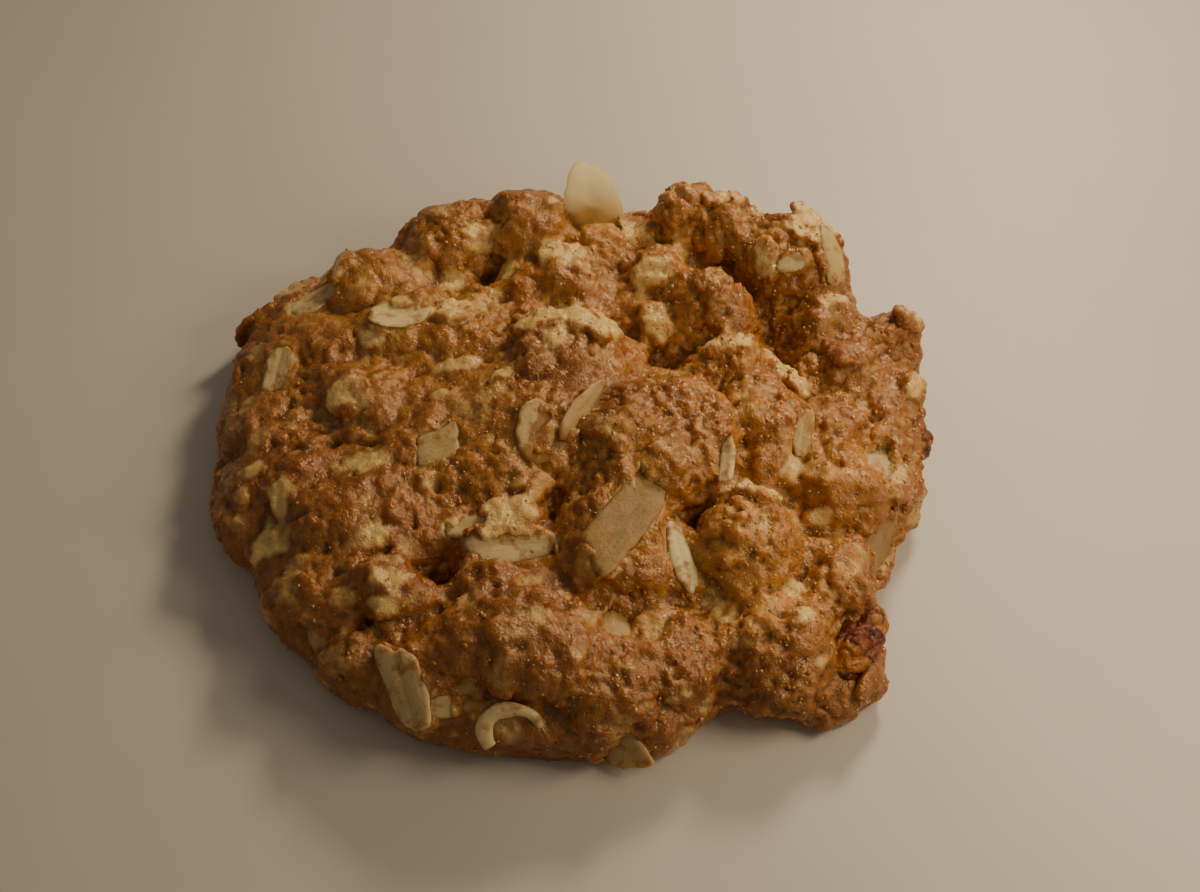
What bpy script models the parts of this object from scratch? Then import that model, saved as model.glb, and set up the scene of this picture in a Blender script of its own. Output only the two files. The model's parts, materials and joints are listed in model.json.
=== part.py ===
"""Oatmeal raisin cookie, 73 mm across.

A round of browned dough is heaped with crags and lies on a flat underside. Rolled-oat flakes are
fused to the dough, and two raisins sit in pockets at its right-hand edge. The origin is the middle
of the underside, +Z is up, and -Y is the near edge. Sizes are in millimetres until MM scales them.
"""
import math
import random
from collections import namedtuple

import bmesh
import bpy
from mathutils import Matrix, Vector, noise
from mathutils.bvhtree import BVHTree

# Driving dimensions
MM = 0.001
CROWN = 8.8  # dough's height in the middle, between the crags
SHOULDER = 6.4  # dough's height where the top turns down into the rim
RIM_MIDDLE = 2.9  # height at which the rim reaches furthest out
RIM_ROUND = 3.4  # how far in the rim's round starts
FLAKE_THICKNESS = 0.7
POCKET_GAP = 0.3  # clearance between a raisin and its pocket
CENTRE = (-0.1, 1.4)  # middle of the plan below, which goes over the origin

# The rim's radius every 15 degrees, counter-clockwise from +X
RIM_RADII = (35.4, 36.6, 35.9, 37.6, 36.4, 34.6, 32.6, 34.8, 36.4, 38.9, 39.4, 38.1,
             36.3, 35.4, 33.4, 34.0, 33.0, 33.4, 33.6, 33.0, 31.4, 34.8, 33.0, 33.2)

# Dough mesh
RINGS = 12
SPOKES = 120
UNDER = -1.0  # the body starts below the underside, and is then cut flat
VOXEL = 0.75
SOFTENING = 7  # smoothing steps that melt the crags together
DOUGH_TRIANGLES = 4900
LUMPINESS = ((6.5, 1.3), (3.0, 1.1))  # wavelength and height of the uneven surface
NOISE_PLACE = Vector((11.3, 4.7, 2.9))

# A mound's plan position, top height, half-length, half-width, turn and squareness
Mound = namedtuple("Mound", "x y top rx ry turn square")
MOUNDS = (
    # broad rise left of the middle, which the plateau stands on
    Mound(-4.0, 1.0, 11.0, 18.0, 16.0, 0, 2.2),
    # plateau, right of the middle, with a cliff on its far and right sides
    Mound(8.4, -2.6, 13.0, 7.6, 8.2, -12, 5.0),
    Mound(-0.6, 7.4, 12.1, 6.2, 8.0, 12, 4.0),
    Mound(4.4, -12.6, 11.6, 6.6, 8.4, 20, 2.6),
    # far edge, left to right
    Mound(-14.2, 28.4, 11.2, 5.6, 5.6, 0, 2.6),
    Mound(-4.8, 29.4, 12.3, 5.4, 5.4, 0, 2.8),
    Mound(2.8, 27.4, 9.9, 5.0, 5.2, 0, 2.2),
    Mound(1.2, 29.6, 11.2, 3.4, 4.2, 0, 2.4),
    Mound(7.4, 30.4, 9.8, 3.4, 4.2, 0, 2.4),
    Mound(9.4, 23.4, 10.4, 4.2, 3.6, 20, 2.4),
    Mound(-1.6, 21.2, 10.3, 7.0, 4.2, -12, 2.4),
    Mound(14.2, 17.4, 11.3, 6.2, 4.1, -38, 2.4),
    Mound(12.2, 30.4, 12.6, 3.8, 3.6, 0, 2.8),
    Mound(16.9, 28.6, 12.6, 4.2, 3.8, -20, 2.6),
    Mound(23.2, 24.2, 12.9, 6.2, 5.6, -35, 2.8),
    Mound(26.6, 16.2, 10.8, 4.2, 4.2, 0, 2.4),
    Mound(33.0, 13.6, 9.4, 4.0, 3.8, 20, 2.4),
    Mound(28.4, 9.4, 10.4, 3.8, 3.8, 0, 2.4),
    # right side
    Mound(33.0, 6.2, 8.6, 2.8, 4.2, 0, 2.4),
    Mound(15.8, 9.4, 10.9, 4.4, 4.0, -20, 2.6),
    Mound(19.4, 1.4, 11.1, 4.0, 7.0, 16, 2.6),
    Mound(25.6, 1.2, 9.8, 4.2, 4.0, 0, 2.4),
    Mound(30.6, 0.8, 8.2, 3.8, 5.2, 0, 2.4),
    Mound(19.4, -4.6, 10.4, 3.0, 2.9, 0, 2.4),
    Mound(26.0, -6.8, 10.4, 5.2, 5.0, 10, 2.6),
    Mound(16.6, -14.2, 12.6, 5.7, 5.4, 0, 2.4),
    Mound(24.6, -14.2, 9.0, 3.6, 3.4, 0, 2.4),
    Mound(24.4, -18.6, 8.6, 3.8, 3.8, 0, 2.4),
    Mound(23.8, -26.6, 5.0, 3.4, 3.1, 0, 2.4),
    Mound(27.4, -25.0, 4.8, 1.8, 2.1, 0, 2.4),
    # near edge, right to left
    Mound(18.6, -23.8, 9.0, 5.6, 5.6, 0, 2.6),
    Mound(9.4, -24.4, 8.8, 5.0, 5.8, 0, 2.6),
    Mound(3.4, -26.8, 9.4, 5.2, 6.0, 0, 2.6),
    Mound(-4.2, -25.0, 11.4, 9.2, 5.8, -10, 2.8),
    Mound(-6.8, -18.4, 10.6, 4.2, 3.4, 0, 2.4),
    Mound(-12.8, -26.6, 8.6, 5.0, 5.0, 0, 2.6),
    Mound(-16.8, -19.0, 9.8, 4.6, 4.4, 0, 2.4),
    Mound(-18.4, -23.6, 7.8, 4.6, 4.6, 30, 2.6),
    Mound(-23.4, -16.8, 8.4, 5.6, 6.2, 25, 2.4),
    # left side
    Mound(-20.0, -9.0, 10.0, 8.0, 6.4, 20, 2.4),
    Mound(-27.6, -3.0, 8.6, 6.6, 8.0, 0, 2.4),
    Mound(-20.4, 4.6, 10.1, 8.0, 6.0, -15, 2.4),
    Mound(-26.6, 11.6, 8.7, 7.0, 7.6, 30, 2.4),
    Mound(-18.2, 15.2, 10.1, 6.4, 5.4, 20, 2.6),
    Mound(-22.2, 22.0, 9.9, 6.0, 5.2, 40, 2.6),
    Mound(-11.6, 12.6, 10.5, 5.6, 6.2, 0, 2.4),
)

# A pit's or crack's plan position, depth, half-length, half-width and turn
Pit = namedtuple("Pit", "x y depth rx ry turn")
PITS = (
    Pit(9.6, 11.6, 3.6, 3.6, 2.6, 0),
    Pit(5.6, 14.6, 2.6, 3.0, 1.8, -60),
    Pit(15.4, 22.4, 3.4, 5.4, 1.7, -38),
    Pit(21.0, 13.6, 3.2, 5.4, 1.6, -72),
    Pit(-9.6, 25.6, 3.0, 1.4, 3.6, 0),
    Pit(7.2, 31.6, 1.2, 2.0, 3.0, 0),
    Pit(-12.8, -15.8, 3.4, 2.6, 2.2, 10),
    Pit(-2.2, -9.8, 1.8, 1.2, 4.6, -6),
    Pit(-18.6, -22.6, 2.2, 1.2, 2.6, 20),
    Pit(13.6, -30.2, 2.4, 1.8, 4.0, 0),
    Pit(26.6, -11.4, 2.6, 3.4, 1.6, 12),
    Pit(12.4, -9.4, 2.2, 1.8, 4.4, 0),
)

# An oat flake's middle in plan, length, width and turn in plan. Pitch lifts the far end of its
# length, roll lifts its left side, rise is how far its face stands above the dough, and a flake
# that stands up has the height of its middle too. Square, skew and taper shape its outline.
Flake = namedtuple("Flake", "x y length width turn pitch roll rise z square skew taper",
                   defaults=(0, 0, 0.3, None, 2.4, 0.0, 0.1))
FLAKES = (
    # middle of the top
    Flake(4.9, -13.3, 10.6, 4.7, 56, 0, 0, 0.4, square=5.0, skew=0.5, taper=0.05),
    Flake(10.1, -16.2, 6.6, 2.6, -70, 0, -12, 0.4, square=2.1),
    Flake(-3.1, -2.4, 6.4, 5.2, 78, 0, 8),
    Flake(0.6, 0.4, 8.4, 2.4, 62, 6, 50, 0.7, taper=0.4),
    Flake(14.9, -6.0, 5.2, 1.6, 86, 0, -40, 0.5, square=3.4),
    Flake(9.0, -5.8, 3.0, 2.5, 0),
    Flake(-5.7, -14.0, 8.4, 3.6, 2, 0, 14, 0.4, taper=0.2),
    Flake(-6.2, -11.2, 5.6, 4.6, 20, 0, 0, 0.5),
    Flake(-10.2, -11.8, 4.2, 2.2, 10),
    Flake(-13.3, -3.0, 4.6, 3.8, 20, square=5.0, skew=0.25),
    Flake(-13.0, 3.4, 2.8, 2.0, 10),
    Flake(-12.1, 8.1, 5.2, 2.0, 0, 0, 0, 0.4),
    Flake(-7.4, 5.2, 2.6, 2.2, 30),
    Flake(-4.4, 14.6, 3.6, 2.8, 20, 0, -10, 0.7, square=3.0),
    Flake(-1.4, 15.4, 4.6, 3.4, 8, 0, -12, 0.9, square=3.4, skew=0.3),
    Flake(0.4, 13.4, 3.4, 2.6, 70, 0, 0, 0.6, square=3.0),
    Flake(3.0, 13.8, 4.4, 3.2, -20, 0, -8, 0.8, square=3.4, skew=-0.3),
    # far side, left to right
    Flake(-28.0, 19.6, 6.4, 3.4, 32, square=3.0),
    Flake(-30.6, 22.6, 5.0, 3.2, 35, 0, 10, 0.4),
    Flake(-18.4, 15.2, 6.4, 4.6, 20, 0, -4, 0.2),
    Flake(-13.0, 15.6, 4.5, 3.6, 60, 0, 0, 0.8, square=3.4),
    Flake(-25.6, 22.4, 4.8, 3.6, 60, 0, 0, 0.5),
    Flake(-13.6, 22.4, 3.4, 3.0, 0),
    Flake(-7.2, 23.4, 4.2, 3.2, 40, 0, 0, 0.8, square=3.4),
    Flake(-10.4, 27.6, 5.0, 3.4, 15, 0, 20, 0.8),
    Flake(-14.6, 29.9, 3.2, 2.4, 0),
    Flake(-2.4, 30.4, 3.8, 2.2, 90),
    Flake(1.6, 31.0, 9.2, 5.8, 122, 60, -24, 0.3, 11.6, taper=0.25),
    Flake(5.6, 28.6, 5.0, 4.2, -20, 0, 0, 0.4),
    Flake(-1.4, 23.8, 5.6, 4.2, -20, 0, 0, 0.7, square=3.4),
    Flake(8.2, 21.2, 5.0, 3.2, 15, 0, 0, 0.6),
    Flake(8.4, 15.4, 4.8, 2.8, 100, 0, 0, 0.4),
    Flake(16.0, 9.6, 5.0, 2.2, 0, 0, 0, 0.5),
    Flake(21.4, 8.2, 7.4, 2.8, -58, 0, -10, 0.6),
    Flake(16.3, 30.1, 4.2, 2.4, 0, 0, 0, 0.4),
    Flake(19.4, 28.4, 3.2, 2.2, 10),
    Flake(20.3, 21.6, 4.5, 2.6, 85),
    Flake(23.0, 20.6, 3.4, 2.0, 20, 0, 0, 0.4),
    Flake(24.4, 24.6, 4.8, 3.0, -48, 0, -10, 0.5),
    Flake(27.6, 22.0, 7.0, 3.4, -62, 0, -10),
    Flake(26.0, 26.0, 7.0, 3.0, -45, 0, 0, 0.4),
    Flake(27.2, 16.6, 3.0, 2.4, 0),
    Flake(35.0, 15.0, 3.8, 2.8, 10, 0, 0, 0.5),
    # right side
    Flake(34.6, 6.4, 3.4, 2.6, 80, 0, 0, 0.5),
    Flake(30.8, -4.6, 7.2, 5.2, 70, 0, -22, 0.5),
    Flake(29.6, -11.8, 7.0, 3.2, 78, 0, -24, 0.4),
    Flake(22.6, -1.8, 5.0, 2.0, 84, 0, -30, 0.5),
    Flake(21.3, -5.2, 3.4, 2.2, 80, 0, 0, 0.4),
    Flake(17.6, -10.6, 4.6, 3.0, -20, 0, 0, 0.4),
    Flake(23.8, -10.2, 2.6, 2.0, 0),
    Flake(20.8, -18.9, 3.2, 2.6, 60),
    Flake(20.8, -23.0, 2.8, 2.2, 0, 0, 0, 0.4),
    Flake(13.9, -21.2, 5.2, 2.4, -60),
    # near edge, right to left
    Flake(4.0, -22.8, 3.9, 3.0, 90, 0, 0, 0.4),
    Flake(5.3, -32.9, 4.8, 3.4, -35, 0, 55, 0.2, 2.8, square=3.4, taper=0.7),
    Flake(-14.6, -29.2, 7.6, 3.9, 95, 0, 0, 0.4, square=4.2, skew=0.4),
    Flake(-11.3, -30.7, 3.2, 2.0, 0, 0, 0, 0.4),
    Flake(-16.7, -19.0, 3.4, 2.6, 0),
    Flake(-16.9, -21.4, 3.4, 2.2, 10),
    Flake(-18.2, -22.8, 2.8, 2.0, 0),
    Flake(-21.0, -19.8, 3.0, 2.2, 30),
    Flake(-23.3, -22.8, 2.8, 2.2, -30),
    # left side
    Flake(-18.9, -13.6, 4.2, 2.4, 20),
    Flake(-20.5, -4.2, 4.2, 3.2, 10),
    Flake(-22.8, 3.6, 4.6, 4.0, 0),
    Flake(-21.3, 12.2, 2.8, 2.4, 0),
    Flake(-30.7, 9.2, 5.4, 3.0, 80, square=3.0),
    Flake(-31.4, -4.6, 2.8, 2.2, 0),
    Flake(-28.2, -8.2, 4.4, 2.4, 85),
    Flake(-29.2, -12.2, 4.4, 4.0, 20, 0, 0, 0.5),
)
FLAKE_CORNERS = 8
FLAKE_RAGGED = 0.12  # how much a flake's outline wavers, as a share of its size
SLOPE_REACH = 1.4  # a flake lies on the dough's mean slope this far round its middle

# A curled flake seen on its edge: a low arch in the near rim
HOOK_PLACE = (-5.2, -32.2)
HOOK_RADIUS = 3.2
HOOK_BAND = 1.3
HOOK_ARC = (-15, 205)  # degrees, from its right foot over the top to its left foot
HOOK_STEPS = 7
HOOK_RISE = 0.4

# Flakes in the far rim
RIM_FLAKES = 9
RIM_FLAKE_ARC = (30, 158)  # degrees counter-clockwise from +X
RIM_FLAKE_SIZES = ((4.6, 7.6), (3.4, 5.0))  # shortest and longest, then narrowest and widest
RIM_FLAKE_HEIGHTS = (3.0, 5.4)
RIM_SEED = 21

# Raisins: middle, length, width, height, turn and how finely each is divided
Raisin = namedtuple("Raisin", "name x y z length width height turn level")
RAISINS = (
    Raisin("raisin_corner", 26.2, -22.9, 4.9, 9.8, 5.4, 5.0, 57, 4),
    Raisin("raisin_rim", 33.6, 1.4, 4.4, 6.8, 5.0, 4.2, 15, 3),
)
WRINKLES = ((2.8, 0.42), (1.4, 0.20))  # wavelength and depth of a raisin's folds

# Colours
DOUGH_COLOUR = (0.40, 0.17, 0.045, 1.0)
RAISIN_COLOUR = (0.060, 0.014, 0.010, 1.0)


def clear_scene():
    for obj in list(bpy.data.objects):
        bpy.data.objects.remove(obj, do_unlink=True)


def add_object(name, bm):
    """An object in the scene from a bmesh, which is freed."""
    mesh = bpy.data.meshes.new(name)
    bm.to_mesh(mesh)
    bm.free()
    obj = bpy.data.objects.new(name, mesh)
    bpy.context.scene.collection.objects.link(obj)
    return obj


def apply_modifiers(obj):
    """Replaces the object's mesh by what its modifiers make of it."""
    bpy.context.view_layer.update()
    graph = bpy.context.evaluated_depsgraph_get()
    made = bpy.data.meshes.new_from_object(obj.evaluated_get(graph))
    obj.modifiers.clear()
    obj.data = made


def rim_radius(angle):
    """The plan outline: a smooth closed curve through RIM_RADII, one cubic a step."""
    count = len(RIM_RADII)
    place = (angle / (2 * math.pi) % 1.0) * count
    step = int(place) % count
    t = place - int(place)
    a, b, c, d = (RIM_RADII[(step + k) % count] for k in (-1, 0, 1, 2))
    return b + 0.5 * t * (c - a + t * (2 * a - 5 * b + 4 * c - d + t * (3 * (b - c) + d - a)))


def body_section():
    """The dough's section from the middle of the top to the underside.

    Each step is a share of the rim's radius, a distance in from it, and a height.
    """
    section = []
    for ring in range(1, RINGS + 1):
        share = ring / RINGS
        section.append((share, RIM_ROUND * share, CROWN - (CROWN - SHOULDER) * share ** 3))
    for degrees in range(75, -61, -15):
        angle = math.radians(degrees)
        inset = RIM_ROUND * (1 - math.cos(angle))
        section.append((1.0, inset, RIM_MIDDLE + (SHOULDER - RIM_MIDDLE) * math.sin(angle)))
    section.append((1.0, RIM_ROUND * 0.6, UNDER))
    return section


def add_body(bm):
    """The plain round of dough, without its crags."""
    rings = []
    for share, inset, height in body_section():
        ring = []
        for spoke in range(SPOKES):
            angle = 2 * math.pi * spoke / SPOKES
            radius = rim_radius(angle) * share - inset
            ring.append(bm.verts.new((radius * math.cos(angle), radius * math.sin(angle), height)))
        rings.append(ring)
    top = bm.verts.new((0, 0, CROWN))
    bottom = bm.verts.new((0, 0, UNDER))
    for here in range(SPOKES):
        after = (here + 1) % SPOKES
        bm.faces.new((top, rings[0][here], rings[0][after]))
        bm.faces.new((bottom, rings[-1][after], rings[-1][here]))
        for inner, outer in zip(rings, rings[1:]):
            bm.faces.new((inner[here], outer[here], outer[after], inner[after]))


def add_mound(bm, mound):
    """One crag: an upright super-ellipsoid, from below the underside to the mound's top."""
    ball = bmesh.ops.create_icosphere(bm, subdivisions=3, radius=1.0)["verts"]
    half = (mound.top - UNDER) / 2
    turn = Matrix.Rotation(math.radians(mound.turn), 3, "Z")
    middle = Vector((mound.x, mound.y, mound.top - half))
    for vert in ball:
        across = math.hypot(vert.co.x, vert.co.y)
        size = (across ** mound.square + abs(vert.co.z) ** mound.square) ** (-1 / mound.square)
        unit = vert.co * size
        vert.co = middle + turn @ Vector((unit.x * mound.rx, unit.y * mound.ry, unit.z * half))


def pit_depth(x, y):
    """How far the pits and cracks lower the dough at a plan position."""
    depth = 0.0
    for pit in PITS:
        turn = math.radians(pit.turn)
        dx, dy = x - pit.x, y - pit.y
        along = (dx * math.cos(turn) + dy * math.sin(turn)) / pit.rx
        across = (dy * math.cos(turn) - dx * math.sin(turn)) / pit.ry
        depth = max(depth, pit.depth * math.exp(-(along ** 2 + across ** 2) * 1.2))
    return depth


def roughen(obj):
    """Uneven surface along the normals, then pits straight down, above the underside."""
    mesh = obj.data
    normals = [vert.normal.copy() for vert in mesh.vertices]
    for vert, normal in zip(mesh.vertices, normals):
        if vert.co.z < 0.8:
            continue
        swell = 0.0
        for wavelength, height in LUMPINESS:
            swell += height * noise.noise(vert.co / wavelength + NOISE_PLACE)
        vert.co += normal * swell
        depth = pit_depth(vert.co.x, vert.co.y)
        vert.co.z -= depth * min(1.0, max(0.0, vert.co.z - 2.2) / 3.0)


def cut_flat(obj):
    """Cuts the underside flat at height zero."""
    bm = bmesh.new()
    bm.from_mesh(obj.data)
    parts = bm.verts[:] + bm.edges[:] + bm.faces[:]
    bmesh.ops.bisect_plane(bm, geom=parts, plane_co=(0, 0, 0), plane_no=(0, 0, 1), clear_inner=True)
    bmesh.ops.holes_fill(bm, edges=[edge for edge in bm.edges if edge.is_boundary])
    bmesh.ops.recalc_face_normals(bm, faces=bm.faces)
    bm.to_mesh(obj.data)
    bm.free()


def make_dough():
    """The dough without flakes or pockets: body and mounds melted together."""
    bm = bmesh.new()
    add_body(bm)
    for mound in MOUNDS:
        add_mound(bm, mound)
    dough = add_object("cookie", bm)
    melt = dough.modifiers.new("melt", "REMESH")
    melt.mode = "VOXEL"
    melt.voxel_size = VOXEL
    soften = dough.modifiers.new("soften", "SMOOTH")
    soften.factor = 0.5
    soften.iterations = SOFTENING
    apply_modifiers(dough)
    roughen(dough)
    thin = dough.modifiers.new("thin", "DECIMATE")
    thin.use_collapse_triangulate = True
    dough.data.calc_loop_triangles()
    thin.ratio = DOUGH_TRIANGLES / len(dough.data.loop_triangles)
    apply_modifiers(dough)
    cut_flat(dough)
    return dough


def dough_tree(dough):
    """A search tree over the dough's faces."""
    places = [vert.co.copy() for vert in dough.data.vertices]
    return BVHTree.FromPolygons(places, [tuple(face.vertices) for face in dough.data.polygons])


def strike(tree, start, aim):
    """Where a line from start along aim meets the dough, and the mean slope round that place."""
    place = tree.ray_cast(start, aim)[0]
    side = aim.orthogonal().normalized()
    total = Vector()
    for turn in range(0, 360, 60):
        offset = Matrix.Rotation(math.radians(turn), 3, aim) @ side * SLOPE_REACH
        hit, normal = tree.ray_cast(start + offset, aim)[:2]
        if hit is not None and (hit - place).length < 3 * SLOPE_REACH:
            total += normal
    return place, total.normalized()


def turned_frame(up, turn, pitch, roll):
    """Axes along, across and up for a flake that lies with its face to up."""
    heading = Vector((math.cos(math.radians(turn)), math.sin(math.radians(turn)), 0.0))
    along = (heading - up * heading.dot(up)).normalized()
    across = up.cross(along)
    lift = Matrix.Rotation(-math.radians(pitch), 3, across)
    along, up = lift @ along, lift @ up
    tip = Matrix.Rotation(math.radians(roll), 3, along)
    return Matrix((along, tip @ across, tip @ up)).transposed()


def outline_point(flake, angle, size):
    """A point of a flake's outline: an oval or a squarer shape, skewed and tapered."""
    along, across = math.cos(angle), math.sin(angle)
    size *= (abs(along) ** flake.square + abs(across) ** flake.square) ** (-1 / flake.square)
    x = along * size
    y = across * size * (1 - flake.taper * x) * flake.width / 2
    return x * flake.length / 2 + flake.skew * y, y


def add_flake(name, place, frame, flake, draw):
    """A thin disc with a ragged outline and a low crown, as an object of its own."""
    bm = bmesh.new()
    rise = flake.rise
    top_ring, bottom_ring = [], []
    for corner in range(FLAKE_CORNERS):
        angle = 2 * math.pi * (corner + draw.uniform(-0.2, 0.2)) / FLAKE_CORNERS
        size = 1 + draw.uniform(-FLAKE_RAGGED, FLAKE_RAGGED)
        x, y = outline_point(flake, angle, size)
        top_ring.append(bm.verts.new(place + frame @ Vector((x, y, rise))))
        bottom_ring.append(bm.verts.new(place + frame @ Vector((x, y, rise - FLAKE_THICKNESS))))
    top = bm.verts.new(place + frame @ Vector((0, 0, rise + FLAKE_THICKNESS * 0.2)))
    bottom = bm.verts.new(place + frame @ Vector((0, 0, rise - FLAKE_THICKNESS * 1.3)))
    for here in range(FLAKE_CORNERS):
        after = (here + 1) % FLAKE_CORNERS
        bm.faces.new((top, top_ring[here], top_ring[after]))
        bm.faces.new((bottom, bottom_ring[after], bottom_ring[here]))
        bm.faces.new((top_ring[after], top_ring[here], bottom_ring[here]))
        bm.faces.new((top_ring[after], bottom_ring[here], bottom_ring[after]))
    return add_object(name, bm)


def lay_flakes(tree):
    """Every flake listed, on the dough or standing at its own height."""
    flakes = []
    for number, flake in enumerate(FLAKES):
        draw = random.Random(number)
        down = Vector((0, 0, -1))
        if flake.z is None:
            place, up = strike(tree, Vector((flake.x, flake.y, 60)), down)
        else:
            place, up = Vector((flake.x, flake.y, flake.z)), -down
        frame = turned_frame(up, flake.turn, flake.pitch, flake.roll)
        flakes.append(add_flake("flake_%02d" % number, place, frame, flake, draw))
    return flakes


def lay_hook(tree):
    """The curled flake: a flat band bent round into an arch."""
    place, up = strike(tree, Vector((*HOOK_PLACE, 60)), Vector((0, 0, -1)))
    frame = turned_frame(up, 0, 0, 0)
    bm = bmesh.new()
    sections = []
    for step in range(HOOK_STEPS + 1):
        start, end = HOOK_ARC
        angle = math.radians(start + (end - start) * step / HOOK_STEPS)
        section = []
        for radius, height in ((0, 0), (0, 1), (1, 1), (1, 0)):
            reach = HOOK_RADIUS - HOOK_BAND * radius
            rise = HOOK_RISE - FLAKE_THICKNESS * height
            spot = Vector((reach * math.cos(angle), reach * math.sin(angle), rise))
            section.append(bm.verts.new(place + frame @ spot))
        sections.append(section)
    for here, after in zip(sections, sections[1:]):
        for side in range(4):
            follow = (side + 1) % 4
            bm.faces.new((here[side], here[follow], after[follow], after[side]))
    bm.faces.new(sections[0][::-1])
    bm.faces.new(sections[-1])
    bmesh.ops.recalc_face_normals(bm, faces=bm.faces)
    bmesh.ops.triangulate(bm, faces=bm.faces)
    return add_object("hook_flake", bm)


def lay_rim_flakes(tree):
    """Flakes at even steps round the far rim, each a little off its step and of its own size."""
    flakes = []
    draw = random.Random(RIM_SEED)
    start, end = RIM_FLAKE_ARC
    for number in range(RIM_FLAKES):
        step = (number + draw.uniform(0.2, 0.8)) / RIM_FLAKES
        angle = math.radians(start + (end - start) * step)
        outward = Vector((math.cos(angle), math.sin(angle), 0.0))
        height = Vector((0, 0, draw.uniform(*RIM_FLAKE_HEIGHTS)))
        place, up = strike(tree, outward * 60 + height, -outward)
        frame = turned_frame(up, math.degrees(angle) + 90, draw.uniform(-30, 30), draw.uniform(-8, 8))
        length, width = (draw.uniform(*sizes) for sizes in RIM_FLAKE_SIZES)
        flake = Flake(0, 0, length, width, 0, rise=0.4)
        flakes.append(add_flake("rim_flake_%02d" % number, place, frame, flake, draw))
    return flakes


def combine(target, pieces, operation, solver="EXACT"):
    """Joins the pieces to the target, or cuts them from it, and removes them."""
    collection = bpy.data.collections.new("pieces")
    bpy.context.scene.collection.children.link(collection)
    for piece in pieces:
        collection.objects.link(piece)
    boolean = target.modifiers.new("combine", "BOOLEAN")
    boolean.operation = operation
    boolean.operand_type = "COLLECTION"
    boolean.collection = collection
    boolean.solver = solver
    apply_modifiers(target)
    for piece in pieces:
        bpy.data.objects.remove(piece, do_unlink=True)
    bpy.data.collections.remove(collection)


def keep_largest(obj):
    """Drops loose scraps and the walls of any sealed hollow, and keeps the main body."""
    bm = bmesh.new()
    bm.from_mesh(obj.data)
    left = set(bm.verts)
    bodies = []
    while left:
        body = set()
        edge = [left.pop()]
        while edge:
            vert = edge.pop()
            body.add(vert)
            for link in vert.link_edges:
                other = link.other_vert(vert)
                if other in left:
                    left.remove(other)
                    edge.append(other)
        bodies.append(body)
    bodies.sort(key=len)
    for body in bodies[:-1]:
        bmesh.ops.delete(bm, geom=list(body), context="VERTS")
    bmesh.ops.triangulate(bm, faces=bm.faces)
    bm.to_mesh(obj.data)
    bm.free()


def raisin_shape(name, raisin, level, grow, wrinkled):
    """A raisin's oval at its place, larger all round by grow, with folds where wrinkled is true."""
    bm = bmesh.new()
    bmesh.ops.create_icosphere(bm, subdivisions=level, radius=1.0)
    turn = Matrix.Rotation(math.radians(raisin.turn), 3, "Z")
    half = Vector((raisin.length, raisin.width, raisin.height)) / 2
    middle = Vector((raisin.x, raisin.y, raisin.z))
    for vert in bm.verts:
        unit = vert.co.normalized()
        point = Vector(unit * half)
        if wrinkled:
            for wavelength, depth in WRINKLES:
                fold = 1 - abs(noise.noise((point + NOISE_PLACE) / wavelength)) * 2
                point -= unit * depth * max(0.0, fold) ** 2
        vert.co = middle + turn @ (point + unit * grow)
    return add_object(name, bm)


def finish(obj, colour, roughness):
    """Scales the object to metres and gives it its material."""
    shift = Matrix.Translation((-CENTRE[0] * MM, -CENTRE[1] * MM, 0))
    obj.data.transform(shift @ Matrix.Scale(MM, 4))
    obj.data.shade_smooth()
    obj.data.set_sharp_from_angle(angle=math.radians(40))
    material = bpy.data.materials.new(obj.name)
    material.use_nodes = True
    shader = material.node_tree.nodes["Principled BSDF"]
    shader.inputs["Base Color"].default_value = colour
    shader.inputs["Roughness"].default_value = roughness
    shader.inputs["Metallic"].default_value = 0.0
    obj.data.materials.clear()
    obj.data.materials.append(material)


def main():
    clear_scene()
    cookie = make_dough()
    tree = dough_tree(cookie)
    flakes = lay_flakes(tree) + [lay_hook(tree)] + lay_rim_flakes(tree)
    combine(cookie, flakes, "UNION")
    pockets = []
    raisins = []
    for raisin in RAISINS:
        pockets.append(raisin_shape("pocket", raisin, 3, POCKET_GAP + 0.1, False))
        raisins.append(raisin_shape(raisin.name, raisin, raisin.level, 0.0, True))
    combine(cookie, pockets, "DIFFERENCE")
    keep_largest(cookie)
    finish(cookie, DOUGH_COLOUR, 0.6)
    for raisin in raisins:
        finish(raisin, RAISIN_COLOUR, 0.35)


main()
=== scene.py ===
"""Looks of the oatmeal raisin cookie: browned dough, oat flakes, crumbs, sugar and two raisins.

The dough is melted together from the same body and mounds as the solid, then roughened finely.
Lengths are in millimetres in the cookie's plan until place() scales and shifts a piece to the frame.
"""
import json
import random
from collections import namedtuple
from math import cos, degrees, hypot, pi, radians, sin, sqrt

import bmesh
import bpy
import numpy as np
from mathutils import Matrix, Vector, noise
from mathutils.bvhtree import BVHTree

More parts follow.
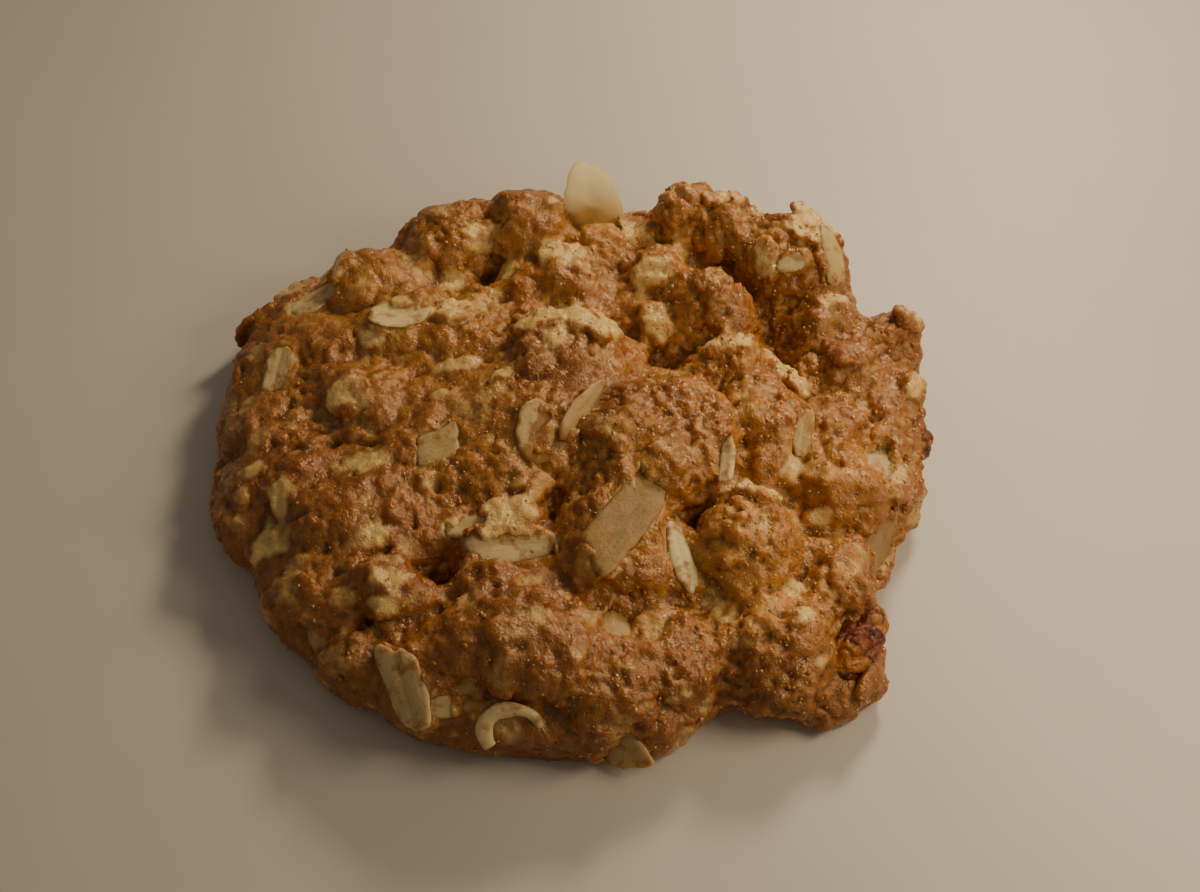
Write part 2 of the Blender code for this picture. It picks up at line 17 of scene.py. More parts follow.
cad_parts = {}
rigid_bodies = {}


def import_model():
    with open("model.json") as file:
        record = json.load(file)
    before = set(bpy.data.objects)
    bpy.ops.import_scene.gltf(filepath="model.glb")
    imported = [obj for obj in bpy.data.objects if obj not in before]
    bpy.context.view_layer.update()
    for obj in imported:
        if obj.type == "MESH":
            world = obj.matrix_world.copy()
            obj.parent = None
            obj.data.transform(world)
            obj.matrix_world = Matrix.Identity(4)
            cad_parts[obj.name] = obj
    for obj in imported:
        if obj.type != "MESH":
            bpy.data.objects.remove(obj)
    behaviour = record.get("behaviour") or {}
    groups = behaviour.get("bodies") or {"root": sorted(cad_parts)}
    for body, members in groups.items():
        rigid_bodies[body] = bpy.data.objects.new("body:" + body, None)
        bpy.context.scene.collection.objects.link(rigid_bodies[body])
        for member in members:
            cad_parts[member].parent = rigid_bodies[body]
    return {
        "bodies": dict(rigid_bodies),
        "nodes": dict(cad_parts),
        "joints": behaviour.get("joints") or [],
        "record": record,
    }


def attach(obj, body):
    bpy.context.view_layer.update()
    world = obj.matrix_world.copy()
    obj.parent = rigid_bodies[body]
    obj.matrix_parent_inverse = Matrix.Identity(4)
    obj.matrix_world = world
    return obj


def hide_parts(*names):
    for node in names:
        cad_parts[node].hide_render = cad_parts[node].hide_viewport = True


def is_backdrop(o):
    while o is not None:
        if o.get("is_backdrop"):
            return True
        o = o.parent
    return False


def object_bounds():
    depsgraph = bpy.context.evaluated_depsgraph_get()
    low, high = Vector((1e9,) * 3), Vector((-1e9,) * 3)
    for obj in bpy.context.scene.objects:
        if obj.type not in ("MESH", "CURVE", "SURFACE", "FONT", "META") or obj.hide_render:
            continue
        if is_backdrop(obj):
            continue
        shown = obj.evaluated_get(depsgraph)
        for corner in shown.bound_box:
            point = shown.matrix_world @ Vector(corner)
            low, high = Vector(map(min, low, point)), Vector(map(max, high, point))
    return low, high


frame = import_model()
cad_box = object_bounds()

# The solid's driving dimensions, with a gentler lumpiness
MM = 0.001
CROWN = 8.8
SHOULDER = 6.4
RIM_MIDDLE = 2.9
RIM_ROUND = 3.4
CENTRE = (-0.1, 1.4)
RIM_RADII = (35.4, 36.6, 35.9, 37.6, 36.4, 34.6, 32.6, 34.8, 36.4, 38.9, 39.4, 38.1,
             36.3, 35.4, 33.4, 34.0, 33.0, 33.4, 33.6, 33.0, 31.4, 34.8, 33.0, 33.2)
RINGS = 12
SPOKES = 120
UNDER = -1.0
VOXEL = 0.75
SOFTENING = 7
LUMPINESS = ((6.5, 1.1), (3.0, 0.6))  # wavelength and height
FREE_ABOVE = 0.8  # dough below this height stays smooth
PITS_ABOVE = 2.2  # pits start at this height
PITS_FADE = 3.0  # and are fully deep this much higher up
NOISE_PLACE = Vector((11.3, 4.7, 2.9))
SLOPE_REACH = 1.4  # a flake lies on the dough's mean slope this far round its middle
LOWEST_GRAIN = 1.2  # height above which coated flakes and grains lie
FAR = 60  # how far off the lines start that look for the dough
DOWN = Vector((0, 0, -1))

# A mound's plan position, top height, half-length, half-width, turn and squareness
Mound = namedtuple("Mound", "x y top rx ry turn square", defaults=(0, 2.4))
MOUNDS = [Mound(*row) for row in (
    # broad rise left of the middle, which the plateau stands on
    (-4, 1, 11, 18, 16, 0, 2.2),
    # plateau, right of the middle, with a cliff on its far and right sides
    (8.4, -2.6, 13, 7.6, 8.2, -12, 5),
    (-0.6, 7.4, 12.1, 6.2, 8, 12, 4),
    (4.4, -12.6, 11.6, 6.6, 8.4, 20, 2.6),
    # far edge, left to right
    (-14.2, 28.4, 11.2, 5.6, 5.6, 0, 2.6),
    (-4.8, 29.4, 12.3, 5.4, 5.4, 0, 2.8),
    (2.8, 27.4, 9.9, 5, 5.2, 0, 2.2),
    (1.2, 29.6, 11.2, 3.4, 4.2),
    (7.4, 30.4, 9.8, 3.4, 4.2),
    (9.4, 23.4, 10.4, 4.2, 3.6, 20),
    (-1.6, 21.2, 10.3, 7, 4.2, -12),
    (14.2, 17.4, 11.3, 6.2, 4.1, -38),
    (12.2, 30.4, 12.6, 3.8, 3.6, 0, 2.8),
    (16.9, 28.6, 12.6, 4.2, 3.8, -20, 2.6),
    (23.2, 24.2, 12.9, 6.2, 5.6, -35, 2.8),
    (26.6, 16.2, 10.8, 4.2, 4.2),
    (33, 13.6, 9.4, 4, 3.8, 20),
    (28.4, 9.4, 10.4, 3.8, 3.8),
    # right side
    (33, 6.2, 8.6, 2.8, 4.2),
    (15.8, 9.4, 10.9, 4.4, 4, -20, 2.6),
    (19.4, 1.4, 11.1, 4, 7, 16, 2.6),
    (25.6, 1.2, 9.8, 4.2, 4),
    (30.6, 0.8, 8.2, 3.8, 5.2),
    (19.4, -4.6, 10.4, 3, 2.9),
    (26, -6.8, 10.4, 5.2, 5, 10, 2.6),
    (16.6, -14.2, 12.6, 5.7, 5.4),
    (24.6, -14.2, 9, 3.6, 3.4),
    (24.4, -18.6, 8.6, 3.8, 3.8),
    (23.8, -26.6, 5, 3.4, 3.1),
    (27.4, -25, 4.8, 1.8, 2.1),
    # near edge, right to left
    (18.6, -23.8, 9, 5.6, 5.6, 0, 2.6),
    (9.4, -24.4, 8.8, 5, 5.8, 0, 2.6),
    (3.4, -26.8, 9.4, 5.2, 6, 0, 2.6),
    (-4.2, -25, 11.4, 9.2, 5.8, -10, 2.8),
    (-6.8, -18.4, 10.6, 4.2, 3.4),
    (-12.8, -26.6, 8.6, 5, 5, 0, 2.6),
    (-16.8, -19, 9.8, 4.6, 4.4),
    (-18.4, -23.6, 7.8, 4.6, 4.6, 30, 2.6),
    (-23.4, -16.8, 8.4, 5.6, 6.2, 25),
    # left side
    (-20, -9, 10, 8, 6.4, 20),
    (-27.6, -3, 8.6, 6.6, 8),
    (-20.4, 4.6, 10.1, 8, 6, -15),
    (-26.6, 11.6, 8.7, 7, 7.6, 30),
    (-18.2, 15.2, 10.1, 6.4, 5.4, 20, 2.6),
    (-22.2, 22, 9.9, 6, 5.2, 40, 2.6),
    (-11.6, 12.6, 10.5, 5.6, 6.2),
)]

# A pit's or crack's plan position, depth, half-length, half-width and turn
Pit = namedtuple("Pit", "x y depth rx ry turn", defaults=(0,))
PITS = [Pit(*row) for row in (
    (9.6, 11.6, 3.6, 3.6, 2.6),
    (5.6, 14.6, 2.6, 3, 1.8, -60),
    (15.4, 22.4, 3.4, 5.4, 1.7, -38),
    (21, 13.6, 3.2, 5.4, 1.6, -72),
    (-9.6, 25.6, 3, 1.4, 3.6),
    (7.2, 31.6, 1.2, 2, 3),
    (-12.8, -15.8, 3.4, 2.6, 2.2, 10),
    (-2.2, -9.8, 1.8, 1.2, 4.6, -6),
    (-18.6, -22.6, 2.2, 1.2, 2.6, 20),
    (13.6, -30.2, 2.4, 1.8, 4),
    (26.6, -11.4, 2.6, 3.4, 1.6, 12),
    (12.4, -9.4, 2.2, 1.8, 4.4),
)]
# Small holes and cracks, which only the fine dough has
FINE_PITS = [Pit(*row) for row in (
    (-23.9, -1.2, 1.2, 0.9, 0.7, 20),
    (-27.8, -2.2, 0.9, 0.7, 0.5),
    (-13.1, -7.4, 1, 0.7, 0.8),
    (-26.2, -10.8, 0.9, 1.1, 0.5),
    (-15.1, -11.6, 0.6, 0.3, 1.2),
    (-13.2, -15, 1.1, 1.7, 1.4),
    (-18.6, -21.6, 1, 0.5, 0.5),
    (-19.3, -22.4, 1.1, 0.6, 0.6),
    (-22.9, -23.8, 0.9, 0.5, 0.5),
    (-20.4, -1.8, 0.4, 1.3, 0.25, -10),
    (-3.2, -5.6, 0.8, 2.6, 0.45, -36),
    (-2.2, -9.2, 0.4, 0.5, 1.8, 5),
    (-2, -10, 0.7, 0.5, 0.6),
    (-1.1, -14.7, 0.7, 0.3, 1.2),
    (2.7, -20.9, 0.7, 0.5, 0.5),
    (9.3, -28.5, 0.7, 0.5, 0.4),
    (15.9, -22.3, 0.7, 0.5, 0.4),
    (-10.8, 24.4, 0.9, 1.3, 0.6),
    (-6.8, -16.3, 0.9, 2.6, 0.5, -4),
    (-22, -17.3, 0.7, 0.6, 0.6),
    (12.2, -12.4, 1, 0.6, 1.4),
    (19, -8.6, 1.1, 1, 0.7),
)]

# Patches where the dough is browner, above zero, or paler, partly from the oven and partly as
# painted shade and painted light: middle in plan, reach and tone
Patch = namedtuple("Patch", "x y reach tone")
PATCHES = [Patch(*row) for row in (
    (15.4, -14.2, 7, -0.8),
    (26.4, -7.2, 6, -0.8),
    (18.4, -24, 8, -1.2),
    (1.4, 29.4, 5, -0.7),
    (-8.4, 26.4, 4, -0.6),
    (14.4, 29.4, 5, -0.6),
    (12.4, 9.6, 5, -0.5),
    (-23, 18.4, 5, -0.5),
    (-14, 11.4, 5, -0.4),
    (-27.6, -2.8, 7, 0.6),
    (-27.8, 11, 5, 0.6),
    (-1.4, 5, 7, 1.1),
    (6.6, -0.6, 6, 0.5),
    (-16.2, -18.4, 7, 0.5),
    (-2.4, -19.8, 6, 0.6),
    (10.4, -25, 5, 0.6),
    (19.6, 14.6, 5, 0.6),
    (28.6, 9.6, 5, 0.6),
    (-24, -8, 15, 0.7),
    (-4, -26, 12, 0.8),
)]

# An oat flake's middle in plan, length, width and turn in plan. Pitch lifts the far end of its
# length, roll lifts its left side, rise is how far its face stands above the dough, and a flake
# that stands up has the height of its middle too. Bare is the share of it that is free of dough,
# and veil the side, in degrees from its length, that dough hides first. Show is how pale it looks
# through the dough. Square, skew and taper shape its outline, curl bends it along its length,
# stain is how brown it is, partly from toasting and partly as painted shade on flakes that lie in
# shade, and glow is how much light comes through it.
Flake = namedtuple("Flake", "x y length width turn pitch roll rise z bare veil show square skew taper "
                            "curl stain glow",
                   defaults=(0, 0, 0.3, None, 0.0, 0, 0.7, 2.4, 0.0, 0.0, 0.1, 0.3, 0.0))
FLAKES = (
    # middle of the top
    # painted shade in part: this flake's heavy stain darkens it as it lies in shade
    Flake(4.9, -13.3, 10.6, 4.7, 56, rise=0.4, bare=1, square=5, skew=0.5, taper=0.05, stain=0.95),
    Flake(10.1, -16.2, 6.6, 2.6, -70, 0, -12, 0.4, bare=1, square=2.1, curl=0.3, stain=0),
    Flake(-3.1, -2.4, 6.4, 5.2, 78, 0, 8, 0.3, bare=0.3, veil=-90, show=0.4),
    Flake(0.6, 0.4, 8.4, 2.4, 62, 6, 50, 0.7, bare=0.9, veil=180, taper=0.4, stain=0.7),
    Flake(14.9, -6, 5.2, 1.6, 86, 0, -40, 0.5, bare=1, square=3.4, stain=0.1),
    Flake(9, -5.8, 3, 2.5, 0, show=0.4),
    Flake(-5.7, -14, 8.4, 3.6, 2, 0, 14, 0.4, bare=0.7, veil=100, taper=0.2, show=1.2),
    Flake(-6.2, -11.2, 5.6, 4.6, 20, rise=0.5, show=1.3),
    Flake(-10.2, -11.8, 4.2, 2.2, 10, bare=0.9, veil=90, show=1.2, stain=0.1),
    Flake(-13.3, -3, 4.6, 3.8, 20, bare=0.9, veil=-90, square=5, skew=0.25, stain=0.4),
    Flake(-13, 3.4, 2.8, 2, 10, show=1),
    Flake(-12.1, 8.1, 5.2, 2, 0, rise=0.4, show=1.2),
    Flake(-7.4, 5.2, 2.6, 2.2, 30, show=1),
    Flake(-4.4, 14.6, 3.6, 2.8, 20, 0, -10, 0.7, show=1.3, square=3),
    Flake(-1.4, 15.4, 4.6, 3.4, 8, 0, -12, 0.9, show=1.5, square=3.4, skew=0.3),
    Flake(0.4, 13.4, 3.4, 2.6, 70, rise=0.6, show=1.3, square=3),
    Flake(3, 13.8, 4.4, 3.2, -20, 0, -8, 0.8, show=1.5, square=3.4, skew=-0.3),
    Flake(-3.8, 12, 5, 3.2, 15, rise=0.5, show=1.6, square=3),
    Flake(0.2, 12.4, 4.6, 3.4, -25, rise=0.6, show=1.6, square=3.4),
    Flake(2.8, 11.2, 3.8, 3, 40, rise=0.5, show=1.5, square=3),
    Flake(-1.8, 9.8, 3.6, 2.6, 70, rise=0.4, show=1.2),
    # far side, left to right
    Flake(-28, 19.6, 6.4, 3.4, 32, rise=0.5, bare=1, square=3, stain=0.2),
    Flake(-30.6, 22.6, 5, 3.2, 35, 0, 10, 0.4, show=1),
    Flake(-18.4, 15.2, 6.4, 4.6, 20, 0, -4, 0.2, bare=0.7, veil=60, curl=0.5, stain=0),
    Flake(-13, 15.6, 4.5, 3.6, 60, rise=0.8, show=1.5, square=3.4),
    Flake(-25.6, 22.4, 4.8, 3.6, 60, rise=0.5, show=1.2),
    Flake(-13.6, 22.4, 3.4, 3, 0, show=1.1),
    Flake(-7.2, 23.4, 4.2, 3.2, 40, rise=0.8, show=1.5, square=3.4),
    Flake(-10.4, 27.6, 5, 3.4, 15, 0, 20, 0.8, show=1.4),
    Flake(-14.6, 29.9, 3.2, 2.4, 0, show=0.8),
    Flake(-2.4, 30.4, 3.8, 2.2, 90, show=0.8),
    Flake(1.6, 31, 9.2, 5.8, 122, 60, -24, 0.3, 11.6, bare=1, taper=0.25, curl=0.9, stain=0, glow=1),
    Flake(5.6, 28.6, 5, 4.2, -20, rise=0.4, show=0.7),
    Flake(-1.4, 23.8, 5.6, 4.2, -20, rise=0.7, show=1.4, square=3.4),
    Flake(8.2, 21.2, 5, 3.2, 15, rise=0.6, show=1.5),
    Flake(8.4, 15.4, 4.8, 2.8, 100, rise=0.4, show=1.3),
    Flake(16, 9.6, 5, 2.2, 0, rise=0.5, show=1.6),
    Flake(21.4, 8.2, 7.4, 2.8, -58, 0, -10, 0.6, show=1.6),
    Flake(16.3, 30.1, 4.2, 2.4, 0, rise=0.4, show=1),
    Flake(19.4, 28.4, 3.2, 2.2, 10, show=0.7),
    Flake(20.3, 21.6, 4.5, 2.6, 85, show=1),
    Flake(23, 20.6, 3.4, 2, 20, rise=0.4, bare=0.9, stain=0.1),
    Flake(24.4, 24.6, 4.8, 3, -48, 0, -10, 0.5, show=1.5),
    Flake(27.6, 22, 7, 3.4, -62, 0, -10, 0.3, bare=1, curl=-0.5, stain=0, glow=0.4),
    Flake(26, 26, 7, 3, -45, rise=0.4, show=1.3),
    Flake(27.2, 16.6, 3, 2.4, 0, show=1.1),
    Flake(35, 15, 3.8, 2.8, 10, rise=0.5, show=1),
    # right side
    Flake(34.6, 6.4, 3.4, 2.6, 80, rise=0.5, show=1),
    Flake(30.8, -4.6, 7.2, 5.2, 70, 0, -22, 0.5, bare=0.5, veil=-120, show=0.8, stain=0.5),
    # painted shade in part: this flake's full stain darkens it as it lies in shade
    Flake(29.6, -11.8, 7, 3.2, 78, 0, -24, 0.4, bare=0.7, veil=-90, stain=1),
    Flake(22.6, -1.8, 5, 2, 84, 0, -30, 0.5, bare=0.9, veil=-90, stain=0.4),
    Flake(21.3, -5.2, 3.4, 2.2, 80, rise=0.4, show=1.4),
    Flake(17.6, -10.6, 4.6, 3, -20, rise=0.4, show=1.4),
    Flake(23.8, -10.2, 2.6, 2, 0, show=0.9),
    Flake(20.8, -18.9, 3.2, 2.6, 60, show=1),
    Flake(20.8, -23, 2.8, 2.2, 0, rise=0.4, show=1),
    Flake(13.9, -21.2, 5.2, 2.4, -60, show=0.8),
    # near edge, right to left
    Flake(4, -22.8, 3.9, 3, 90, rise=0.4, bare=0.9, veil=0, stain=0.7),
    Flake(5.3, -32.9, 4.8, 3.4, -35, 0, 55, 0.2, 2.8, bare=1, square=3.4, taper=0.7, stain=0.5),
    Flake(-14.6, -29.2, 7.6, 3.9, 95, rise=0.4, bare=1, square=4.2, skew=0.4, stain=0.3),
    Flake(-11.3, -30.7, 3.2, 2, 0, rise=0.4, bare=0.7, stain=0.5),
    Flake(-16.7, -19, 3.4, 2.6, 0, show=1.2),
    Flake(-16.9, -21.4, 3.4, 2.2, 10, show=1.1),
    Flake(-18.2, -22.8, 2.8, 2, 0, show=0.7),
    Flake(-21, -19.8, 3, 2.2, 30, show=0.6),
    Flake(-23.3, -22.8, 2.8, 2.2, -30, show=0.6),
    # left side
    Flake(-18.9, -13.6, 4.2, 2.4, 20, show=0.9),
    Flake(-20.5, -4.2, 4.2, 3.2, 10, show=1.4),
    Flake(-22.8, 3.6, 4.6, 4, 0, show=1.4),
    Flake(-21.3, 12.2, 2.8, 2.4, 0, show=1.1),
    Flake(-30.7, 9.2, 5.4, 3, 80, bare=0.9, veil=-90, square=3, stain=0.4),
    Flake(-31.4, -4.6, 2.8, 2.2, 0, show=1.2),
    Flake(-28.2, -8.2, 4.4, 2.4, 85, show=1.3),
    Flake(-29.2, -12.2, 4.4, 4, 20, rise=0.5, show=1.4),
)
FLAKE_THICKNESS = 0.5
FLAKE_RAGGEDNESS = 0.04
FLAKE_SPOKES = 40
FLAKE_RINGS = 6
FLAKE_CUPPING = (-0.20, 0.30)  # height of a flake's long edges over its middle
FLAKE_TWIST = (-0.25, 0.25)  # height of its corners
GROOVE_DEPTHS = (0.0, 0.16)
GROOVE_WIDTH = 0.28

# Dough round or over a flake: how far it reaches past it, its thickness and its top over the face
Coat = namedtuple("Coat", "reach thickness top")
COLLAR = Coat(0.8, 1.1, -0.26)  # round a bare flake
COVER = Coat(0.3, 1.1, 0.05)  # over a coated flake
VEIL = Coat(0.3, 0.8, 0.22)  # over the coated side of a partly bare flake
COAT_SPOKES = 14
COAT_RINGS = 2
STEEPEST_COATED = 28  # a flake rolled further stands free

# A curled flake seen on its edge, wider than in the solid
HOOK_PLACE = (-5.2, -32.2)
HOOK_RADIUS = 3.2
HOOK_BAND = 1.6
HOOK_ARC = (5, 212)  # degrees, from its right foot over the top to its left foot
HOOK_STEPS = 36
HOOK_SIDES = 10

# Flakes in the far rim, as in the solid
RIM_FLAKES = 9
RIM_FLAKE_ARC = (30, 158)
RIM_FLAKE_SIZES = ((4.6, 7.6), (3.4, 5.0))
RIM_FLAKE_HEIGHTS = (3.0, 5.4)
RIM_SEED = 21
SOLID_OUTLINE_DRAWS = 16  # numbers that the solid's own outline of a flake takes

Raisin = namedtuple("Raisin", "name x y z length width height turn")
RAISINS = (
    Raisin("raisin_corner", 26.2, -22.9, 4.9, 9.8, 5.4, 5.0, 57),
    Raisin("raisin_rim", 33.6, 1.4, 4.4, 6.8, 5.0, 4.2, 15),
)
RAISIN_FOLDS = ((2.8, 0.42), (1.4, 0.24), (0.7, 0.12))  # wavelength and depth

# Fine dough
FINE_VOXEL = 0.25
FINE_SOFTENING = 4
DOUGH_TRIANGLES = 190000
SOFT_LUMPS = ((3.4, 0.45), (1.7, 0.42))  # wavelength and height
GRAIN = ((2.4, 0.30), (0.9, 0.24))
COBBLES = ((1.7, 0.50), (0.8, 0.46))  # size and height
COBBLE_WARP = 0.35
EXPOSURE_STEPS = (5, 60)  # smoothing steps of the short and of the long reach

# Flakes and bits of oat wholly coated with dough: count, shortest and longest, and seed
BURIED = ((330, (2.0, 5.0), 5), (420, (0.8, 2.0), 6))
TOP_SHARE = 0.78  # share of them on the top, and the rest on the rim
RIM_HEIGHTS = (1.6, 7.5)

# Small grains: how many, their smallest and largest size, how far their middles stand out of the
# dough as a share of it, how much fewer they are on the left, and seed
Grains = namedtuple("Grains", "name count sizes rise lean seed")
CRUMBS = Grains("crumbs", 260, (0.12, 0.34), 0.25, 0.0, 9)
SUGAR = Grains("sugar_beads", 4500, (0.08, 0.22), -0.1, 0.5, 14)

# Colours of the dough, the oats and the raisins
GOLDEN = (0.42, 0.182, 0.029)
AMBER = (0.34, 0.127, 0.019)
HONEY = (0.58, 0.265, 0.060)
BROWNED = (0.25, 0.080, 0.012)
# painted shade: the colour that darkens the deepest hollows
HOLLOW_SHADE = (0.13, 0.038, 0.010)
# painted shade: the colour that darkens small pores
PORE_SHADE = (0.12, 0.034, 0.009)
PALE = (0.76, 0.54, 0.20)
CREAM = (0.84, 0.70, 0.38)
STRAW = (0.68, 0.50, 0.22)
# browner flakes: their toasting, and painted shade on flakes that lie in shade
TOASTED_AND_SHADED = (0.33, 0.205, 0.068)
SMEARED = (0.36, 0.15, 0.028)
BACKLIT = (1.0, 0.93, 0.70)
BACKLIT_SHARE = 0.92
RAISIN_DARK = (0.050, 0.009, 0.004)
RAISIN_RED = (0.20, 0.036, 0.009)
GOLDEN_SHEEN = (1.0, 0.78, 0.52, 1.0)
RED_SHEEN = (1.0, 0.62, 0.40, 1.0)

# Floor, camera and light, in metres in the frame
FLOOR_SIZE = 1.2
FLOOR_COLOURS = ((0.60, 0.55, 0.48), (0.62, 0.57, 0.50))
CAMERA_PLACE = (0.0027, -0.10933, 0.13482)
CAMERA_TILT = 40  # degrees up from straight down
# A lamp's azimuth, clockwise from the far side, its elevation, distance, size, power and colour
Lamp = namedtuple("Lamp", "name azimuth elevation distance size power colour")
LAMPS = (
    Lamp("key", 32, 38, 0.18, 0.036, 0.21, (1.0, 0.82, 0.58)),
    Lamp("side", 108, 40, 0.12, 0.05, 0.062, (1.0, 0.82, 0.58)),
    Lamp("fill", 165, 55, 0.5, 0.4, 0.05, (1.0, 0.86, 0.68)),
)
SKY_COLOUR = (1.0, 0.86, 0.70, 1.0)
SKY_STRENGTH = 0.16


def link_object(name, data):
    obj = bpy.data.objects.new(name, data)
    bpy.context.scene.collection.objects.link(obj)
    return obj


def add_object(name, bm):
    """An object in the scene from a bmesh, which is freed."""
    mesh = bpy.data.meshes.new(name)
    bm.to_mesh(mesh)
    bm.free()
    return link_object(name, mesh)


def apply_modifiers(obj):
    """Replaces the object's mesh by what its modifiers make of it."""
    bpy.context.view_layer.update()
    graph = bpy.context.evaluated_depsgraph_get()
    made = bpy.data.meshes.new_from_object(obj.evaluated_get(graph))
    obj.modifiers.clear()
    obj.data = made


def melt(obj, voxel, softening):
    """Melts everything in the object into one skin, and softens it."""
    remesh = obj.modifiers.new("melt", "REMESH")
    remesh.mode = "VOXEL"
    remesh.voxel_size = voxel
    soften = obj.modifiers.new("soften", "SMOOTH")
    soften.factor = 0.5
    soften.iterations = softening
    apply_modifiers(obj)


def read_vectors(mesh, kind):
    """The vertices' places (co) or normals (normal), one row each."""
    flat = np.empty(len(mesh.vertices) * 3, np.float32)
    mesh.vertices.foreach_get(kind, flat)
    return flat.reshape(-1, 3).astype(float)


def write_points(mesh, points):
    mesh.vertices.foreach_set("co", points.astype(np.float32).ravel())
    mesh.update()


def write_values(mesh, name, values):
    """A value for each vertex, which the materials read by its name."""
    layer = mesh.attributes.new(name, "FLOAT", "POINT")
    layer.data.foreach_set("value", values.astype(np.float32))


def rim_radius(angle):
    """The plan outline: a smooth closed curve through RIM_RADII, one cubic a step."""
    count = len(RIM_RADII)
    place = (angle / (2 * pi) % 1.0) * count
    step = int(place) % count
    t = place - int(place)
    a, b, c, d = (RIM_RADII[(step + k) % count] for k in (-1, 0, 1, 2))
    return b + 0.5 * t * (c - a + t * (2 * a - 5 * b + 4 * c - d + t * (3 * (b - c) + d - a)))


def body_section():
    """The dough's section: shares of the rim's radius, distances in from it, and heights."""
    section = []
    for ring in range(1, RINGS + 1):
        share = ring / RINGS
        section.append((share, RIM_ROUND * share, CROWN - (CROWN - SHOULDER) * share ** 3))
    for tilt in range(75, -61, -15):
        angle = radians(tilt)
        inset = RIM_ROUND * (1 - cos(angle))
        section.append((1.0, inset, RIM_MIDDLE + (SHOULDER - RIM_MIDDLE) * sin(angle)))
    section.append((1.0, RIM_ROUND * 0.6, UNDER))
    return section


def add_body(bm):
    """The plain round of dough, without its crags."""
    rings = []
    for share, inset, height in body_section():
        ring = []
        for spoke in range(SPOKES):
            angle = 2 * pi * spoke / SPOKES
            radius = rim_radius(angle) * share - inset
            ring.append(bm.verts.new((radius * cos(angle), radius * sin(angle), height)))
        rings.append(ring)
    top = bm.verts.new((0, 0, CROWN))
    bottom = bm.verts.new((0, 0, UNDER))
    for here in range(SPOKES):
        after = (here + 1) % SPOKES
        bm.faces.new((top, rings[0][here], rings[0][after]))
        bm.faces.new((bottom, rings[-1][after], rings[-1][here]))
        for inner, outer in zip(rings, rings[1:]):
            bm.faces.new((inner[here], outer[here], outer[after], inner[after]))


def add_mound(bm, mound):
    """One crag: an upright super-ellipsoid, from below the underside to the mound's top."""
    ball = bmesh.ops.create_icosphere(bm, subdivisions=3, radius=1.0)["verts"]
    half = (mound.top - UNDER) / 2
    turn = Matrix.Rotation(radians(mound.turn), 3, "Z")
    middle = Vector((mound.x, mound.y, mound.top - half))
    for vert in ball:
        across = hypot(vert.co.x, vert.co.y)
        size = (across ** mound.square + abs(vert.co.z) ** mound.square) ** (-1 / mound.square)
        unit = vert.co * size
        vert.co = middle + turn @ Vector((unit.x * mound.rx, unit.y * mound.ry, unit.z * half))


def pit_depths(points, pits):
    """How far pits and cracks lower each point: fully high up and not at all near the underside."""
    depths = np.zeros(len(points))
    for pit in pits:
        turn = radians(pit.turn)
        dx, dy = points[:, 0] - pit.x, points[:, 1] - pit.y
        along = (dx * cos(turn) + dy * sin(turn)) / pit.rx
        across = (dy * cos(turn) - dx * sin(turn)) / pit.ry
        depths = np.maximum(depths, pit.depth * np.exp(-(along ** 2 + across ** 2) * 1.2))
    return depths * np.clip((points[:, 2] - PITS_ABOVE) / PITS_FADE, 0, 1)


def swell(points, wavelength):
    """Smooth noise from about -0.5 to 0.5 at each point."""
    places = points / wavelength + np.array(NOISE_PLACE)
    return np.array([noise.noise(place) for place in places])


def roughen(obj):
    """The solid's uneven surface, then its pits straight down, above the underside."""
    points, normals = read_vectors(obj.data, "co"), read_vectors(obj.data, "normal")
    free = points[:, 2] >= FREE_ABOVE
    push = sum(height * swell(points, wavelength) for wavelength, height in LUMPINESS)
    points[free] += normals[free] * push[free, None]
    points[:, 2] -= pit_depths(points, PITS)
    write_points(obj.data, points)


def cut_flat(obj):
    """Cuts the underside flat at height zero."""
    bm = bmesh.new()
    bm.from_mesh(obj.data)
    parts = bm.verts[:] + bm.edges[:] + bm.faces[:]
    bmesh.ops.bisect_plane(bm, geom=parts, plane_co=(0, 0, 0), plane_no=(0, 0, 1), clear_inner=True)
    bmesh.ops.holes_fill(bm, edges=[edge for edge in bm.edges if edge.is_boundary])
    bmesh.ops.recalc_face_normals(bm, faces=bm.faces)
    bm.to_mesh(obj.data)
    bm.free()


def make_form():
    """The dough's form as the solid has it, without flakes."""
    bm = bmesh.new()
    add_body(bm)
    for mound in MOUNDS:
        add_mound(bm, mound)
    form = add_object("dough", bm)
    melt(form, VOXEL, SOFTENING)
    roughen(form)
    cut_flat(form)
    return form


def search_tree(obj):
    places = [vert.co.copy() for vert in obj.data.vertices]
    return BVHTree.FromPolygons(places, [tuple(face.vertices) for face in obj.data.polygons])


def strike(tree, start, aim):
    """Where a line from start along aim meets the dough, and the mean slope round that place."""
    place = tree.ray_cast(start, aim)[0]
    side = aim.orthogonal().normalized()
    total = Vector()
    for turn in range(0, 360, 60):
        offset = Matrix.Rotation(radians(turn), 3, aim) @ side * SLOPE_REACH
        hit, normal = tree.ray_cast(start + offset, aim)[:2]
        if hit is not None and (hit - place).length < 3 * SLOPE_REACH:
            total += normal
    return place, total.normalized()


def level(angle):
    """The level direction at that angle, in radians counter-clockwise from +X."""
    return Vector((cos(angle), sin(angle), 0.0))


def turned_frame(up, turn, pitch, roll):
    """Axes along, across and up for a flake that lies with its face to up."""
    heading = level(radians(turn))
    along = (heading - up * heading.dot(up)).normalized()
    across = up.cross(along)
    lift = Matrix.Rotation(-radians(pitch), 3, across)
    along, up = lift @ along, lift @ up
    tip = Matrix.Rotation(radians(roll), 3, along)
    return Matrix((along, tip @ across, tip @ up)).transposed()


